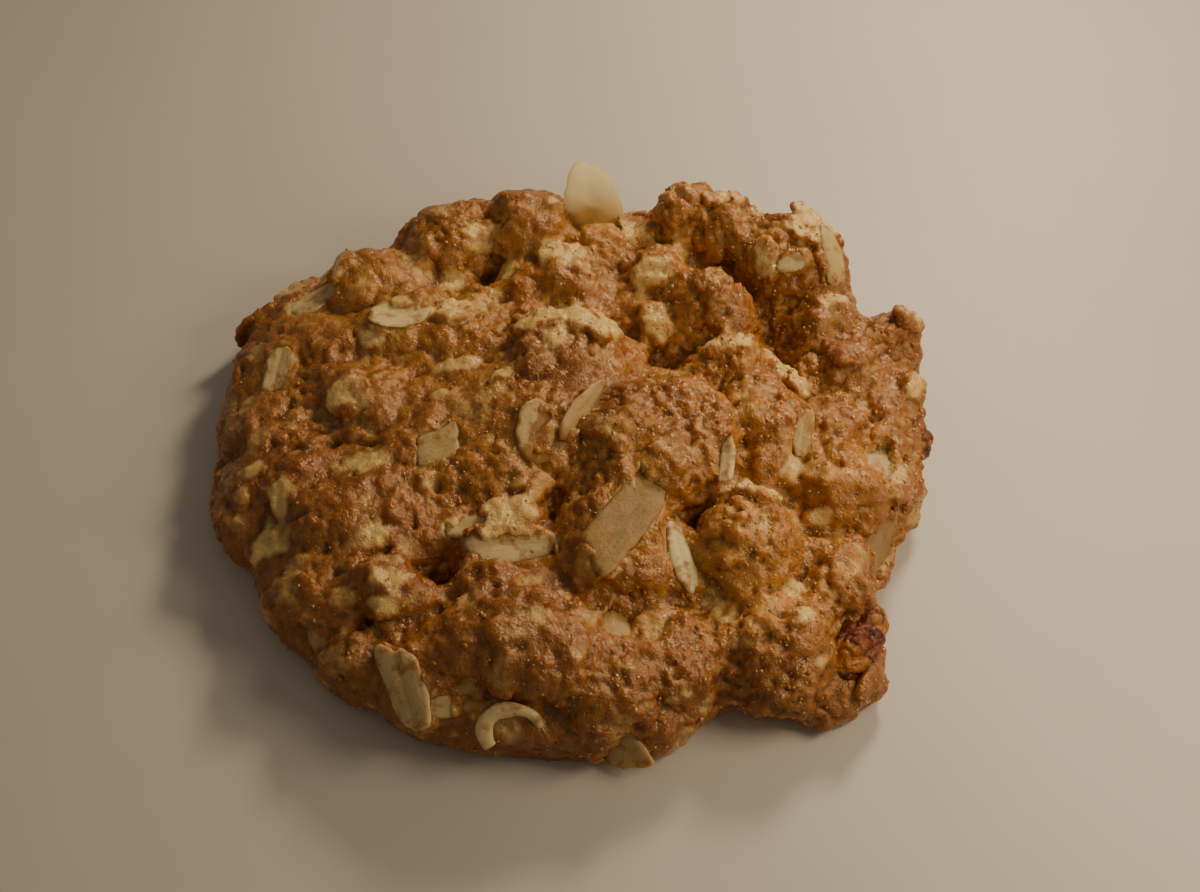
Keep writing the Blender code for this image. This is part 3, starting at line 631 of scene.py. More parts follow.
class Heap:
    """Points, faces and values of many small things that make one piece."""

    def __init__(self):
        self.points = []
        self.faces = []
        self.values = []
        self.count = 0

    def add(self, points, faces, **values):
        self.points.append(points)
        self.faces.extend(tuple(corner + self.count for corner in face) for face in faces)
        self.values.append({name: np.broadcast_to(value, len(points)) for name, value in values.items()})
        self.count += len(points)

    def make(self, name):
        mesh = bpy.data.meshes.new(name)
        mesh.from_pydata(np.concatenate(self.points).tolist(), [], self.faces)
        for value in self.values[0]:
            write_values(mesh, value, np.concatenate([values[value] for values in self.values]))
        return link_object(name, mesh)


def disc_faces(spokes, rings):
    """Faces of a closed disc: a top middle, top rings outward, bottom rings inward, a bottom middle."""
    faces = []
    loops = 2 * rings
    last = loops * spokes + 1
    for spoke in range(spokes):
        after = (spoke + 1) % spokes
        faces.append((0, 1 + spoke, 1 + after))
        for loop in range(loops - 1):
            inner, outer = 1 + loop * spokes, 1 + (loop + 1) * spokes
            faces.append((inner + spoke, outer + spoke, outer + after, inner + after))
        inner = 1 + (loops - 1) * spokes
        faces.append((last, inner + after, inner + spoke))
    return faces


FLAKE_FACES = disc_faces(FLAKE_SPOKES, FLAKE_RINGS)
COAT_FACES = disc_faces(COAT_SPOKES, COAT_RINGS)


def flake_outline(flake, phases, jitter, spokes):
    """A rolled oat's outline: an oval or a squarer shape, skewed, tapered and ragged."""
    angles = np.linspace(0, 2 * pi, spokes, endpoint=False)
    across, along = np.sin(angles), np.cos(angles)
    size = (np.abs(along) ** flake.square + np.abs(across) ** flake.square) ** (-1 / flake.square)
    waver = np.sin(2 * angles + phases[0]) + np.sin(3 * angles + phases[1])
    waver += 0.7 * np.sin(5 * angles + phases[2]) + 0.5 * np.sin(9 * angles + phases[3])
    waver += np.array([jitter.uniform(-0.8, 0.8) for _ in angles])
    size = size * (1 + FLAKE_RAGGEDNESS * waver)
    x = along * size
    y = across * size * (1 - flake.taper * x)
    return (x * flake.length + flake.skew * y * flake.width) / 2, y * flake.width / 2


def flake_share(flake, points):
    """How far out each point of a flake is: 0 in its middle and 1 on its outline."""
    x, y = points[:, 0], points[:, 1]
    u = (2 * x - 2 * flake.skew * y) / flake.length
    v = 2 * y / flake.width / np.maximum(1 - flake.taper * u, 0.2)
    return (np.abs(u) ** flake.square + np.abs(v) ** flake.square) ** (1 / flake.square)


def toward_veil(flake, points):
    """How far each point is toward a flake's veiled side: 1 on that edge and -1 on the far one."""
    veil = radians(flake.veil)
    toward = points[:, 0] / (flake.length / 2) * cos(veil)
    return toward + points[:, 1] / (flake.width / 2) * sin(veil)


def flake_bend(draw):
    """A flake's cupping across it and its twist."""
    return draw.uniform(*FLAKE_CUPPING), draw.uniform(*FLAKE_TWIST)


def flake_height(flake, bend, x, y):
    """How high a bent flake's face is over its middle."""
    cup, twist = bend
    u, v = 2 * x / flake.length, 2 * y / flake.width
    return flake.curl * u ** 2 + cup * v ** 2 + twist * u * v + 0.05 * np.sin(x * 1.7) * np.sin(y * 2.3)


def flake_points(flake, thickness, draw, spokes=FLAKE_SPOKES, rings=FLAKE_RINGS):
    """A flake in its own frame, its face at height zero, and how near its edge each point is."""
    bend = flake_bend(draw)
    groove = draw.uniform(*GROOVE_DEPTHS)
    phases = [draw.uniform(0, 2 * pi) for _ in range(4)]
    outline_x, outline_y = flake_outline(flake, phases, draw, spokes)
    shares = [(ring / rings) ** 0.8 for ring in range(rings + 1)]
    loops = [(share, 1) for share in shares] + [(share, -1) for share in reversed(shares)]
    points, edges = [], []
    for share, side in loops:
        x, y = outline_x * share, outline_y * share
        round_off = thickness * 0.36 * share ** 6
        height = np.full_like(x, -round_off if side > 0 else -thickness + round_off)
        height += flake_height(flake, bend, x, y)
        height -= side * groove * np.exp(-(y / GROOVE_WIDTH) ** 2) * (1 - share ** 4)
        count = spokes if share else 1
        points.append(np.stack([x, y, height], 1)[:count])
        edges.append(np.full(count, share))
    return np.concatenate(points), np.concatenate(edges)


def placed(points, place, frame):
    """Points from a flake's own frame to the plan's."""
    return points @ np.array(frame).T + np.array(place)


# A flake as laid: its place, its frame and the number that its ragged outline comes from
Laid = namedtuple("Laid", "place frame flake seed")


def lay_flakes(tree):
    """Where every listed flake lies."""
    laid = []
    for number, flake in enumerate(FLAKES):
        if flake.z is None:
            place, up = strike(tree, Vector((flake.x, flake.y, FAR)), DOWN)
        else:
            place, up = Vector((flake.x, flake.y, flake.z)), -DOWN
        frame = turned_frame(up, flake.turn, flake.pitch, flake.roll)
        laid.append(Laid(place, frame, flake, number))
    return laid


def lay_rim_flakes(tree):
    """Where the flakes in the far rim lie, drawn as the solid draws them."""
    laid = []
    draw = random.Random(RIM_SEED)
    start, end = RIM_FLAKE_ARC
    for number in range(RIM_FLAKES):
        step = (number + draw.uniform(0.2, 0.8)) / RIM_FLAKES
        angle = radians(start + (end - start) * step)
        outward = level(angle)
        height = Vector((0, 0, draw.uniform(*RIM_FLAKE_HEIGHTS)))
        place, up = strike(tree, outward * FAR + height, -outward)
        frame = turned_frame(up, degrees(angle) + 90, draw.uniform(-30, 30), draw.uniform(-8, 8))
        length, width = (draw.uniform(*sizes) for sizes in RIM_FLAKE_SIZES)
        bare, veil = 0.4 + 0.15 * (number % 4), 75 * number
        flake = Flake(0, 0, length, width, 0, rise=0.4, bare=bare, veil=veil, stain=0.4)
        laid.append(Laid(place, frame, flake, 100 + number))
        for _ in range(SOLID_OUTLINE_DRAWS):
            draw.random()
    return laid


def random_line(draw):
    """A line from outside to somewhere on the dough's top or rim."""
    angle = draw.uniform(0, 2 * pi)
    if draw.random() < TOP_SHARE:
        reach = rim_radius(angle) * sqrt(draw.random())
        return Vector((reach * cos(angle), reach * sin(angle), FAR)), DOWN
    return level(angle) * FAR + Vector((0, 0, draw.uniform(*RIM_HEIGHTS))), -level(angle)


def crowded(place, length, clear):
    """Whether a flake of that length would lie over one of the others."""
    for other in clear:
        if (place - other.place).length < 0.36 * (other.flake.length + length):
            return True
    return False


def lay_buried(tree, clear, count, sizes, seed):
    """Coated flakes or bits all over the top and the rim, clear of the others."""
    draw = random.Random(seed)
    laid = []
    while len(laid) < count:
        start, aim = random_line(draw)
        if tree.ray_cast(start, aim)[0] is None:
            continue
        place, up = strike(tree, start, aim)
        length = draw.uniform(*sizes)
        if place.z < LOWEST_GRAIN or crowded(place, length, clear):
            continue
        frame = turned_frame(up, draw.uniform(0, 360), draw.uniform(-7, 7), draw.uniform(-9, 9))
        flake = Flake(0, 0, length, length * draw.uniform(0.45, 0.8), 0, rise=draw.uniform(0.0, 0.26),
                      show=max(0.0, draw.uniform(-0.5, 0.65)), square=draw.uniform(2.0, 3.4),
                      skew=draw.uniform(-0.3, 0.3), curl=draw.uniform(-0.3, 0.3))
        laid.append(Laid(place, frame, flake, seed + 200 + len(laid)))
    return laid


def add_coat_disc(heap, laid, size, coat, draw, shift=(0.0, 0.0)):
    """One disc of dough of that length and width, shifted along and across the flake."""
    length, width = size
    flake = laid.flake._replace(length=length + coat.reach, width=width + coat.reach)
    points, _ = flake_points(flake, coat.thickness, draw, COAT_SPOKES, COAT_RINGS)
    points += (*shift, laid.flake.rise + coat.top)
    heap.add(placed(points, laid.place, laid.frame), COAT_FACES)


def add_coat(heap, laid):
    """The dough round a bare flake or over a coated one, and a veil over a partly bare one."""
    flake = laid.flake
    if flake.z is not None or abs(flake.roll) > STEEPEST_COATED:
        return
    draw = random.Random(laid.seed)
    add_coat_disc(heap, laid, (flake.length, flake.width), COLLAR if flake.bare else COVER, draw)
    if 0.0 < flake.bare < 0.8:
        along, across = cos(radians(flake.veil)), sin(radians(flake.veil))
        size = flake.length * (1 - flake.bare * abs(along)), flake.width * (1 - flake.bare * abs(across))
        shift = along * flake.length / 2 * flake.bare, across * flake.width / 2 * flake.bare
        add_coat_disc(heap, laid, size, VEIL, draw, shift)


def billow(values):
    """Noise folded over so that it makes soft lumps with creases between them."""
    return np.sqrt(values ** 2 + 0.01) - 0.18


def cobble_distance(points, size):
    """Each point's distance to the middle of the nearest cobble of that size."""
    places = points / size + np.array(NOISE_PLACE)
    return np.array([noise.voronoi(place)[0][0] for place in places]) * size


def fine_relief(points):
    """Soft lumps, grain and cobbles in patches: how far each point moves out, less on the left."""
    relief = sum(height * billow(swell(points, wavelength)) for wavelength, height in SOFT_LUMPS)
    relief += sum(height * swell(points, wavelength) for wavelength, height in GRAIN)
    warp = np.stack([swell(points + shift, 1.1) for shift in (0.0, 20.0, 40.0)], 1)
    patchy = np.clip(swell(points + 60, 6.0) * 2.5 + 0.7, 0.25, 1.0)
    for size, height in COBBLES:
        away = cobble_distance(points + COBBLE_WARP * warp, size)
        relief += height * patchy * (0.5 - np.clip(away / size, 0, 1) ** 2)
    return relief * np.clip(0.9 + points[:, 0] / 90, 0.65, 1.1)


def near_points(points, laid):
    """The points near a laid flake: their numbers, and their places in its own frame."""
    away = np.abs(points - np.array(laid.place)).max(1)
    index = np.flatnonzero(away < laid.flake.length * 0.7 + 0.6)
    return index, (points[index] - np.array(laid.place)) @ np.array(laid.frame)


def bare_where(local, flake, waver):
    """Which of a flake's points are free of dough: its bare side, with a ragged edge."""
    bare_side = toward_veil(flake, local) < 2.0 * flake.bare - 1.0 + waver * 1.2
    return bare_side & (flake_share(flake, local) < 0.98 + waver * 0.2)


def uncover_flakes(points, laid):
    """Lowers dough that stands over the bare part of a flake to just below its face."""
    for piece in laid:
        flake = piece.flake
        if not flake.bare:
            continue
        index, local = near_points(points, piece)
        bend = flake_bend(random.Random(piece.seed))
        face = flake.rise + flake_height(flake, bend, local[:, 0], local[:, 1])
        over = (local[:, 2] > face - 0.5) & (local[:, 2] < face + 1.8)
        over &= bare_where(local, flake, swell(points[index], 1.6))
        local[over, 2] = face[over] - 0.30
        points[index[over]] = placed(local[over], piece.place, piece.frame)


def relax(points, edges, values, steps):
    """Values averaged again and again with their neighbours'."""
    count = np.bincount(edges.ravel(), minlength=len(points)).astype(float)
    count[count == 0] = 1
    for _ in range(steps):
        total = np.zeros_like(values)
        for axis in range(values.shape[1]):
            total[:, axis] += np.bincount(edges[:, 0], values[edges[:, 1], axis], len(points))
            total[:, axis] += np.bincount(edges[:, 1], values[edges[:, 0], axis], len(points))
        values = total / count[:, None]
    return values


def calm_beside(points, laid):
    """Near nothing round bare flakes and one elsewhere: their rings of dough neither brown nor get painted
    shade.
    """
    calm = np.ones(len(points))
    for piece in laid:
        if not piece.flake.bare:
            continue
        index, local = near_points(points, piece)
        share = flake_share(piece.flake, local)
        calm[index] = np.minimum(calm[index], np.clip((share - 1.1) / 0.4, 0.1, 1))
    return calm


def write_exposure(mesh, points, laid):
    """How far each vertex stands out of its surroundings, over a short and a long reach."""
    normals = read_vectors(mesh, "normal")
    edges = np.empty(len(mesh.edges) * 2, np.int32)
    mesh.edges.foreach_get("vertices", edges)
    edges = edges.reshape(-1, 2)
    short = relax(points, edges, points, EXPOSURE_STEPS[0])
    long = relax(points, edges, short, EXPOSURE_STEPS[1])
    calm = calm_beside(points, laid)
    write_values(mesh, "grain", ((points - short) * normals).sum(1) * calm)
    write_values(mesh, "crest", ((short - long) * normals).sum(1) * calm)


def write_oats(mesh, points, laid):
    """How pale the dough is over each coated flake."""
    values = np.zeros(len(points))
    ragged = swell(points, 1.3)
    for piece in laid:
        flake = piece.flake
        if not flake.show:
            continue
        index, local = near_points(points, piece)
        inside = np.clip(1.8 - 1.5 * flake_share(flake, local) + 0.8 * ragged[index], 0, 1)
        close = np.clip(1.6 - 1.2 * np.abs(local[:, 2] - flake.rise), 0, 1)
        values[index] = np.maximum(values[index], flake.show * (inside * close))
    write_values(mesh, "oat", values)


def write_browning(mesh, points):
    """How far down and out on the rim each vertex is, where the oven browns the dough most."""
    radii = np.array([rim_radius(angle) for angle in np.arctan2(points[:, 1], points[:, 0])])
    share = np.hypot(points[:, 0], points[:, 1]) / radii
    low = np.clip((5.5 - points[:, 2]) / 4.0, 0, 1)
    write_values(mesh, "rim", np.maximum(low, np.clip((share - 0.84) / 0.14, 0, 1)))


def write_tone_and_painted_light(mesh, points):
    """How brown or pale the patches leave each vertex, with wavering edges: partly browning, partly
    painted shade and painted light.
    """
    reach = 1 + 0.8 * swell(points, 5.0)
    tone = np.zeros(len(points))
    for patch in PATCHES:
        away = np.hypot(points[:, 0] - patch.x, points[:, 1] - patch.y)
        tone += patch.tone * np.exp(-1.5 * (away / patch.reach / reach) ** 2)
    write_values(mesh, "tone", tone)


def coat_form(form, laid):
    """Adds the dough round and over the flakes to the form."""
    heap = Heap()
    for piece in laid:
        add_coat(heap, piece)
    coats = heap.make("coats")
    bm = bmesh.new()
    bm.from_mesh(form.data)
    bm.from_mesh(coats.data)
    bm.to_mesh(form.data)
    bm.free()
    bpy.data.objects.remove(coats, do_unlink=True)


def make_dough(form, laid):
    """The fine dough: the form with its flakes coated, its lumps, grain, cracks and pits."""
    coat_form(form, laid)
    melt(form, FINE_VOXEL, FINE_SOFTENING)
    points, normals = read_vectors(form.data, "co"), read_vectors(form.data, "normal")
    free = np.clip((points[:, 2] - 0.25) / 1.2, 0, 1)
    points += normals * (fine_relief(points) * free)[:, None]
    points[:, 2] -= pit_depths(points, FINE_PITS)
    points[:, 2] = np.maximum(points[:, 2], 0.0)
    uncover_flakes(points, laid)
    write_points(form.data, points)
    thin = form.modifiers.new("thin", "DECIMATE")
    thin.use_collapse_triangulate = True
    form.data.calc_loop_triangles()
    thin.ratio = min(1.0, DOUGH_TRIANGLES / len(form.data.loop_triangles))
    apply_modifiers(form)
    points = read_vectors(form.data, "co")
    write_exposure(form.data, points, laid)
    write_oats(form.data, points, laid)
    write_browning(form.data, points)
    write_tone_and_painted_light(form.data, points)
    return form


def add_bare_flakes(heap, laid):
    """Every oat flake that is at least partly free of dough."""
    for piece in laid:
        flake = piece.flake
        if not flake.bare:
            continue
        draw = random.Random(piece.seed)
        points, edge = flake_points(flake, FLAKE_THICKNESS, draw)
        toward = toward_veil(flake, points)
        smear = np.clip((toward - (2.0 * flake.bare - 1.0)) * 1.5 + 0.4, 0, 1) * (flake.bare < 1.0)
        along, across = points[:, 0], points[:, 1]
        points[:, 2] += flake.rise
        heap.add(placed(points, piece.place, piece.frame), FLAKE_FACES, edge=edge, smear=smear,
                 tint=draw.random(), stain=flake.stain, glow=flake.glow, along=along, across=across)


def tube_faces(steps, sides):
    """Faces of a closed tube that many steps long and that many sides round."""
    faces = []
    for here in range(0, steps * sides, sides):
        for side in range(sides):
            follow = (side + 1) % sides
            faces.append((here + side, here + follow, here + sides + follow, here + sides + side))
    faces.append(tuple(range(sides - 1, -1, -1)))
    faces.append(tuple(steps * sides + side for side in range(sides)))
    return faces


def add_hook(heap, tree):
    """The curled flake seen on its edge: a band bent round, thin and sunk at its right end."""
    place, up = strike(tree, Vector((*HOOK_PLACE, FAR)), DOWN)
    points = []
    for step in range(HOOK_STEPS + 1):
        share = step / HOOK_STEPS
        angle = radians(HOOK_ARC[0] + (HOOK_ARC[1] - HOOK_ARC[0]) * share)
        band = HOOK_BAND * (0.45 + 0.55 * sin(pi * min(max(share, 0.06), 0.94)) ** 0.5)
        band *= 0.65 + 0.55 * share + 0.08 * sin(share * 17)
        middle = HOOK_RADIUS - HOOK_BAND / 2 + 0.12 * sin(share * 11)
        for side in range(HOOK_SIDES):
            turn = 2 * pi * side / HOOK_SIDES
            reach = middle + band / 2 * cos(turn)
            height = 0.55 + 0.38 * sin(turn) + 0.1 * sin(share * 9) - 0.9 * (1 - share) ** 4
            points.append((reach * cos(angle), reach * sin(angle), height))
    points = np.array(points)
    heap.add(placed(points, place, turned_frame(up, 0, 0, 0)), tube_faces(HOOK_STEPS, HOOK_SIDES),
             edge=0.3, smear=0.0, tint=0.3, stain=0.2, glow=0.0, along=points[:, 0], across=points[:, 1])


def scatter(grains, dough):
    """Small lumpy grains all over the dough, each partly sunk in it."""
    draw = np.random.default_rng(grains.seed)
    mesh = dough.data
    mesh.calc_loop_triangles()
    corners = np.empty(len(mesh.loop_triangles) * 3, np.int32)
    mesh.loop_triangles.foreach_get("vertices", corners)
    corners = corners.reshape(-1, 3)
    points, normals = read_vectors(mesh, "co"), read_vectors(mesh, "normal")
    middles = points[corners].mean(1)
    sides = points[corners[:, 1:]] - points[corners[:, :1]]
    areas = np.linalg.norm(np.cross(sides[:, 0], sides[:, 1]), axis=1)
    areas[middles[:, 2] < LOWEST_GRAIN] = 0
    areas *= np.clip(1 + grains.lean * (middles[:, 0] / 25 - 1), 0.1, 1)
    chosen = draw.choice(len(corners), grains.count, p=areas / areas.sum())
    ball = bmesh.new()
    bmesh.ops.create_icosphere(ball, subdivisions=1, radius=1.0)
    shape = np.array([vert.co[:] for vert in ball.verts])
    faces = [tuple(vert.index for vert in face.verts) for face in ball.faces]
    ball.free()
    smallest, largest = grains.sizes
    heap = Heap()
    for index in chosen:
        size = smallest + (largest - smallest) * draw.random() ** 2.5
        stretch = draw.uniform(0.7, 1.35, 3)
        turn = Matrix.Rotation(draw.uniform(0, 6.28), 3, Vector(draw.normal(size=3)))
        lumpy = shape * draw.uniform(0.82, 1.18, (len(shape), 1))
        place = middles[index] + normals[corners[index][0]] * size * grains.rise
        heap.add(lumpy * stretch * size @ np.array(turn).T + place, faces, tint=draw.random())
    return heap.make(grains.name)


def make_raisin(raisin):
    """A raisin with fine folds all over."""
    bm = bmesh.new()
    bmesh.ops.create_icosphere(bm, subdivisions=6, radius=1.0)
    turn = Matrix.Rotation(radians(raisin.turn), 3, "Z")
    half = Vector((raisin.length, raisin.width, raisin.height)) / 2
    middle = Vector((raisin.x, raisin.y, raisin.z))
    for vert in bm.verts:
        unit = vert.co.normalized()
        point = Vector(unit * half)
        for wavelength, depth in RAISIN_FOLDS:
            fold = 1 - abs(noise.noise((point + NOISE_PLACE) / wavelength)) * 2
            point -= unit * depth * max(0.0, fold) ** 2
        vert.co = middle + turn @ point
    return add_object(raisin.name + "_skin", bm)


class Nodes:
    """A short way to write a material's nodes."""

    def __init__(self, name):
        self.material = bpy.data.materials.new(name)
        self.material.use_nodes = True
        self.tree = self.material.node_tree
        self.shader = self.tree.nodes["Principled BSDF"]

    def new(self, kind, **settings):
        node = self.tree.nodes.new("ShaderNode" + kind)
        for name, value in settings.items():
            setattr(node, name, value)
        return node

    def feed(self, socket, value):
        """Links a socket to another, or sets it to a constant."""
        if isinstance(value, bpy.types.NodeSocket):
            self.tree.links.new(value, socket)
        else:
            socket.default_value = value

    def value(self, name):
        return self.new("Attribute", attribute_name=name).outputs["Fac"]

    def noise(self, scale, detail=3.0, roughness=0.6, where=None):
        """Noise of that many waves a metre."""
        node = self.new("TexNoise")
        where = where or self.new("TexCoord").outputs["Object"]
        inputs = {"Vector": where, "Scale": scale, "Detail": detail, "Roughness": roughness}
        for name, value in inputs.items():
            self.feed(node.inputs[name], value)
        return node.outputs["Fac"]

    def ramp(self, value, low, high, to_low=0.0, to_high=1.0):
        node = self.new("MapRange")
        for socket, number in zip(node.inputs, (value, low, high, to_low, to_high)):
            self.feed(socket, number)
        return node.outputs["Result"]

    def math(self, operation, a, b):
        node = self.new("Math", operation=operation)
        self.feed(node.inputs[0], a)
        self.feed(node.inputs[1], b)
        return node.outputs[0]

    def mix(self, factor, a, b):
        """The colours a and b, which are constants or sockets, mixed by a factor."""
        node = self.new("Mix", data_type="RGBA")
        self.feed(node.inputs["Factor"], factor)
        for name, value in (("A", a), ("B", b)):
            socket = [s for s in node.inputs if s.name == name and s.type == "RGBA"][0]
            self.feed(socket, (*value, 1.0) if isinstance(value, tuple) else value)
        return [s for s in node.outputs if s.type == "RGBA"][0]

    def bump(self, height, distance, after=None):
        node = self.new("Bump")
        self.feed(node.inputs["Distance"], distance)
        self.feed(node.inputs["Height"], height)
        if after is not None:
            self.feed(node.inputs["Normal"], after)
        return node.outputs["Normal"]

    def let_light_through(self, colour, share):
        """Lets a share of the light behind a thin thing through it."""
        through = self.new("BsdfTranslucent")
        self.feed(through.inputs["Color"], colour)
        both = self.new("MixShader")
        self.feed(both.inputs["Fac"], share)
        self.feed(both.inputs[1], self.shader.outputs["BSDF"])
        self.feed(both.inputs[2], through.outputs["BSDF"])
        self.feed(self.tree.nodes["Material Output"].inputs["Surface"], both.outputs["Shader"])

    def finish(self, colour, roughness, **others):
        """The material, with its other shader inputs named with _ for each space."""
        for name, value in {"Base_Color": colour, "Roughness": roughness, **others}.items():
            self.feed(self.shader.inputs[name.replace("_", " ")], value)
        return self.material


def dough_colour(n):
    """Browned where it stands out, golden in hollows, with painted shade in the deepest hollows and pores,
    browner or paler patches that are partly painted shade and painted light, and pale over coated oats.
    """
    colour = n.mix(n.ramp(n.noise(420, 4), 0.44, 0.56), GOLDEN, AMBER)
    colour = n.mix(n.ramp(n.noise(800, 3), 0.54, 0.64, 0, 0.6), colour, HONEY)
    colour = n.mix(n.ramp(n.noise(1100, 3), 0.56, 0.66, 0, 0.6), colour, BROWNED)
    crest = n.math("ADD", n.value("crest"), n.ramp(n.noise(130, 4), 0.3, 0.7, -0.5, 0.5))
    colour = n.mix(n.ramp(crest, -0.1, 0.7, 0, 0.55), colour, BROWNED)
    # painted shade darkens the deepest hollows, where the long-reach crest is lowest
    colour = n.mix(n.ramp(n.value("crest"), -0.35, -1.1, 0, 0.8), colour, HOLLOW_SHADE)
    specks = n.ramp(n.noise(1900, 2), 0.58, 0.66)
    colour = n.mix(n.math("MULTIPLY", specks, 0.5), colour, HONEY)
    # partly painted shade and painted light: the patches make the dough browner or paler
    colour = n.mix(n.ramp(n.value("tone"), 0, 1, 0, 0.8), colour, BROWNED)
    colour = n.mix(n.ramp(n.value("tone"), 0, -1, 0, 0.7), colour, HONEY)
    rim = n.math("ADD", n.value("rim"), n.ramp(n.noise(260, 4), 0.3, 0.7, -0.35, 0.25))
    colour = n.mix(n.ramp(rim, 0.1, 1, 0, 0.7), colour, BROWNED)
    # painted shade darkens small pores, where the short-reach grain sinks in
    colour = n.mix(n.ramp(n.value("grain"), -0.03, -0.14, 0, 0.6), colour, PORE_SHADE)
    oat = n.math("SUBTRACT", n.value("oat"), n.ramp(n.noise(700, 4), 0.35, 0.65, 0, 0.4))
    return n.mix(n.ramp(oat, 0, 0.8, 0, 0.9), colour, PALE)


def dough_material():
    """Baked dough, oily in patches."""
    n = Nodes("baked_dough")
    colour = dough_colour(n)
    oil = n.ramp(n.noise(420, 3), 0.4, 0.6)
    normal = n.bump(n.noise(1100, 4, 0.7), 0.00026)
    normal = n.bump(n.noise(2300, 2, 0.6), 0.00015, normal)
    return n.finish(colour, n.ramp(oil, 0, 1, 0.44, 0.17), Normal=normal,
                    Specular_IOR_Level=1, Specular_Tint=GOLDEN_SHEEN, Subsurface_Weight=0.8,
                    Subsurface_Radius=(1, 0.4, 0.12), Subsurface_Scale=0.0018)


def flake_material():
    """Oat with fibres along it, toasted and given painted shade by its stain, filmed with dough and lit
    through by its glow.
    """
    n = Nodes("oat_flake")
    colour = n.mix(n.value("tint"), CREAM, STRAW)
    grain = n.new("CombineXYZ")
    for axis, (name, waves) in enumerate((("along", 0.35), ("across", 2.2), ("tint", 30.0))):
        n.feed(grain.inputs[axis], n.math("MULTIPLY", n.value(name), waves))
    fibres = n.noise(1, 4, 0.6, grain.outputs["Vector"])
    colour = n.mix(n.ramp(fibres, 0.35, 0.7, 0, 0.3), colour, STRAW)
    # toasting and painted shade: flakes browned by their stain
    colour = n.mix(n.value("stain"), colour, TOASTED_AND_SHADED)
    film = n.math("ADD", n.value("smear"), n.ramp(n.noise(700, 4), 0.35, 0.65, -0.5, 0.45))
    film = n.math("ADD", film, n.ramp(n.value("edge"), 0.75, 1, 0, 0.2))
    colour = n.mix(n.ramp(film, 0.05, 0.55, 0, 0.9), colour, SMEARED)
    normal = n.bump(fibres, 0.00010)
    normal = n.bump(n.noise(2600, 3, 0.6), 0.00008, normal)
    n.let_light_through((*BACKLIT, 1), n.math("MULTIPLY", n.value("glow"), BACKLIT_SHARE))
    return n.finish(colour, n.ramp(fibres, 0.3, 0.7, 0.36, 0.55), Normal=normal,
                    Specular_IOR_Level=0.35, Subsurface_Weight=0.8,
                    Subsurface_Radius=(1, 0.8, 0.5), Subsurface_Scale=0.0010)


def crumb_material():
    n = Nodes("crumb")
    colour = n.mix(n.ramp(n.value("tint"), 0.3, 1), AMBER, HONEY)
    colour = n.mix(n.ramp(n.noise(700, 3), 0.4, 0.65, 0, 0.6), colour, BROWNED)
    normal = n.bump(n.noise(3400, 3, 0.6), 0.00010)
    return n.finish(colour, 0.42, Normal=normal, Subsurface_Weight=0.3,
                    Subsurface_Radius=(1, 0.4, 0.1), Subsurface_Scale=0.0010)


def sugar_material():
    n = Nodes("melted_sugar")
    colour = n.mix(n.value("tint"), GOLDEN, HONEY)
    return n.finish(colour, 0.16, Specular_IOR_Level=1, Coat_Weight=1, Coat_Roughness=0.12,
                    Subsurface_Weight=0.6, Subsurface_Radius=(1, 0.4, 0.12), Subsurface_Scale=0.0010)


def raisin_material():
    """Dark red skin, smeared with dough in places."""
    n = Nodes("raisin_skin")
    colour = n.mix(n.ramp(n.noise(380, 4), 0.4, 0.62), RAISIN_DARK, RAISIN_RED)
    colour = n.mix(n.ramp(n.noise(260, 4), 0.5, 0.57), colour, AMBER)
    normal = n.bump(n.noise(1700, 4, 0.65), 0.00028)
    return n.finish(colour, n.ramp(n.noise(900, 3), 0.35, 0.65, 0.16, 0.42), Normal=normal,
                    Specular_IOR_Level=0.6, Specular_Tint=RED_SHEEN, Coat_Weight=0.15, Coat_Roughness=0.15)


def place(obj, material):
    """Scales a piece to metres, puts it in the frame, shades it smooth and gives it its material."""
    shift = Matrix.Translation((-CENTRE[0] * MM, -CENTRE[1] * MM, 0))
    obj.data.transform(shift @ Matrix.Scale(MM, 4))
    obj.data.shade_smooth()
    obj.data.materials.append(material)


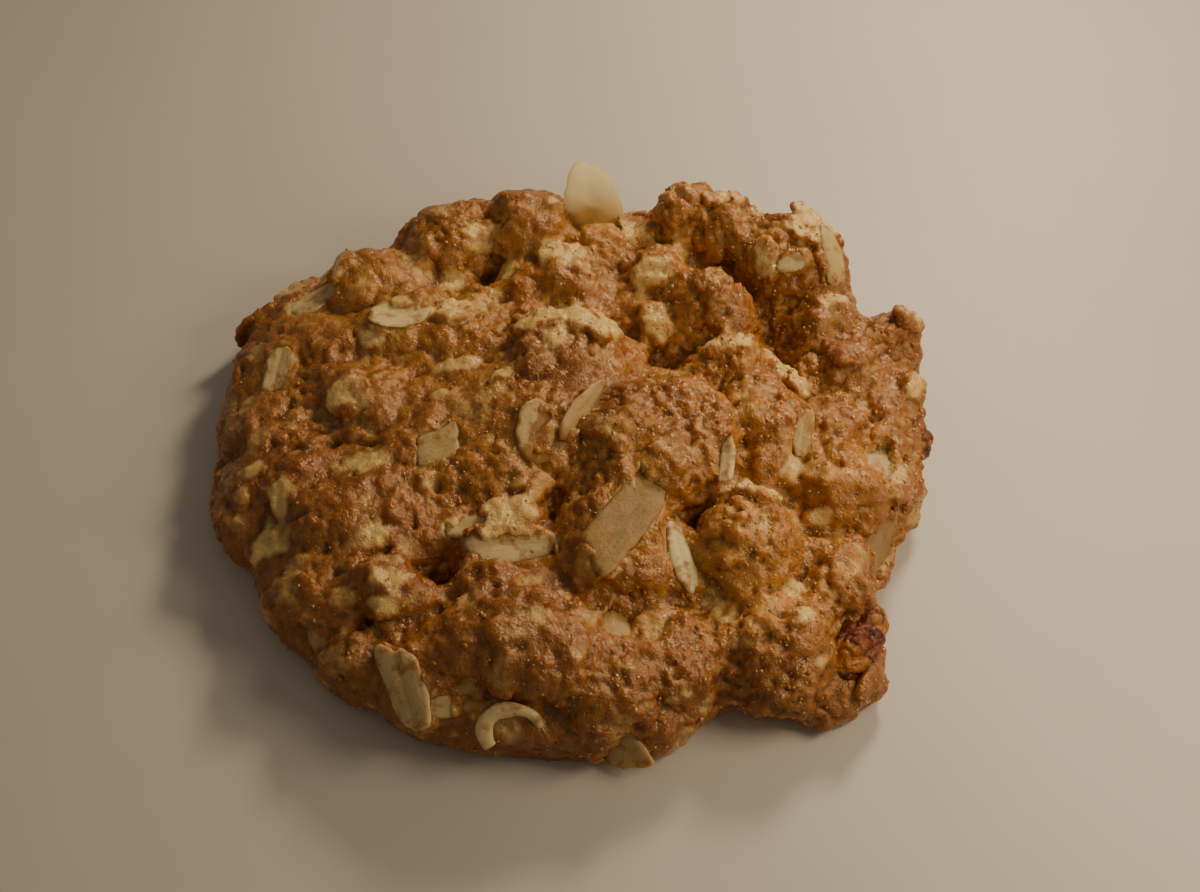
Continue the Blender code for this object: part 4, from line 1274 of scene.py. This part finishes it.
def add_floor():
    n = Nodes("pale_floor")
    colour = n.mix(n.ramp(n.noise(30, 3), 0.3, 0.7), *FLOOR_COLOURS)
    bm = bmesh.new()
    bmesh.ops.create_grid(bm, x_segments=2, y_segments=2, size=FLOOR_SIZE)
    floor = add_object("floor", bm)
    floor.data.materials.append(n.finish(colour, 0.55))
    floor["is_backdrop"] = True


def add_camera():
    """The photograph's view: 50 degrees down, with the cookie a little left of the middle."""
    lens = bpy.data.cameras.new("camera")
    lens.lens = 50
    lens.sensor_width = 36
    lens.clip_start = 0.01
    lens.clip_end = 10
    camera = link_object("camera", lens)
    camera.location = CAMERA_PLACE
    camera.rotation_euler = (radians(CAMERA_TILT), 0, 0)
    bpy.context.scene.camera = camera


def add_lights():
    """A soft warm light from behind on the right, and faint light from all round."""
    for lamp in LAMPS:
        light = bpy.data.lights.new(lamp.name, "AREA")
        light.size = lamp.size
        light.energy = lamp.power
        light.color = lamp.colour
        turn, rise = radians(lamp.azimuth), radians(lamp.elevation)
        away = Vector((sin(turn) * cos(rise), cos(turn) * cos(rise), sin(rise)))
        holder = link_object(lamp.name, light)
        holder.location = away * lamp.distance
        holder.rotation_euler = away.to_track_quat("Z", "Y").to_euler()
    world = bpy.data.worlds.new("studio")
    world.use_nodes = True
    background = world.node_tree.nodes["Background"]
    background.inputs["Color"].default_value = SKY_COLOUR
    background.inputs["Strength"].default_value = SKY_STRENGTH
    bpy.context.scene.world = world


def main():
    form = make_form()
    tree = search_tree(form)
    listed = lay_flakes(tree) + lay_rim_flakes(tree)
    laid = list(listed)
    for count, sizes, seed in BURIED:
        laid += lay_buried(tree, listed, count, sizes, seed)
    dough = make_dough(form, laid)
    heap = Heap()
    add_bare_flakes(heap, laid)
    add_hook(heap, tree)
    flakes = heap.make("oat_flakes")
    crumbs = scatter(CRUMBS, dough)
    sugar = scatter(SUGAR, dough)
    raisins = [make_raisin(raisin) for raisin in RAISINS]

    place(dough, dough_material())
    place(flakes, flake_material())
    place(crumbs, crumb_material())
    place(sugar, sugar_material())
    skin = raisin_material()
    for raisin in raisins:
        place(raisin, skin)

    for piece in (dough, flakes, crumbs, sugar):
        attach(piece, "root")
        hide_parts("cookie")
    for piece, raisin in zip(raisins, RAISINS):
        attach(piece, "root")
        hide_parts(raisin.name)

    add_floor()
    add_camera()
    add_lights()
    sizes = {"cad": [list(map(float, corner)) for corner in cad_box],
             "visual": [list(map(float, corner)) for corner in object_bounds()]}


main()
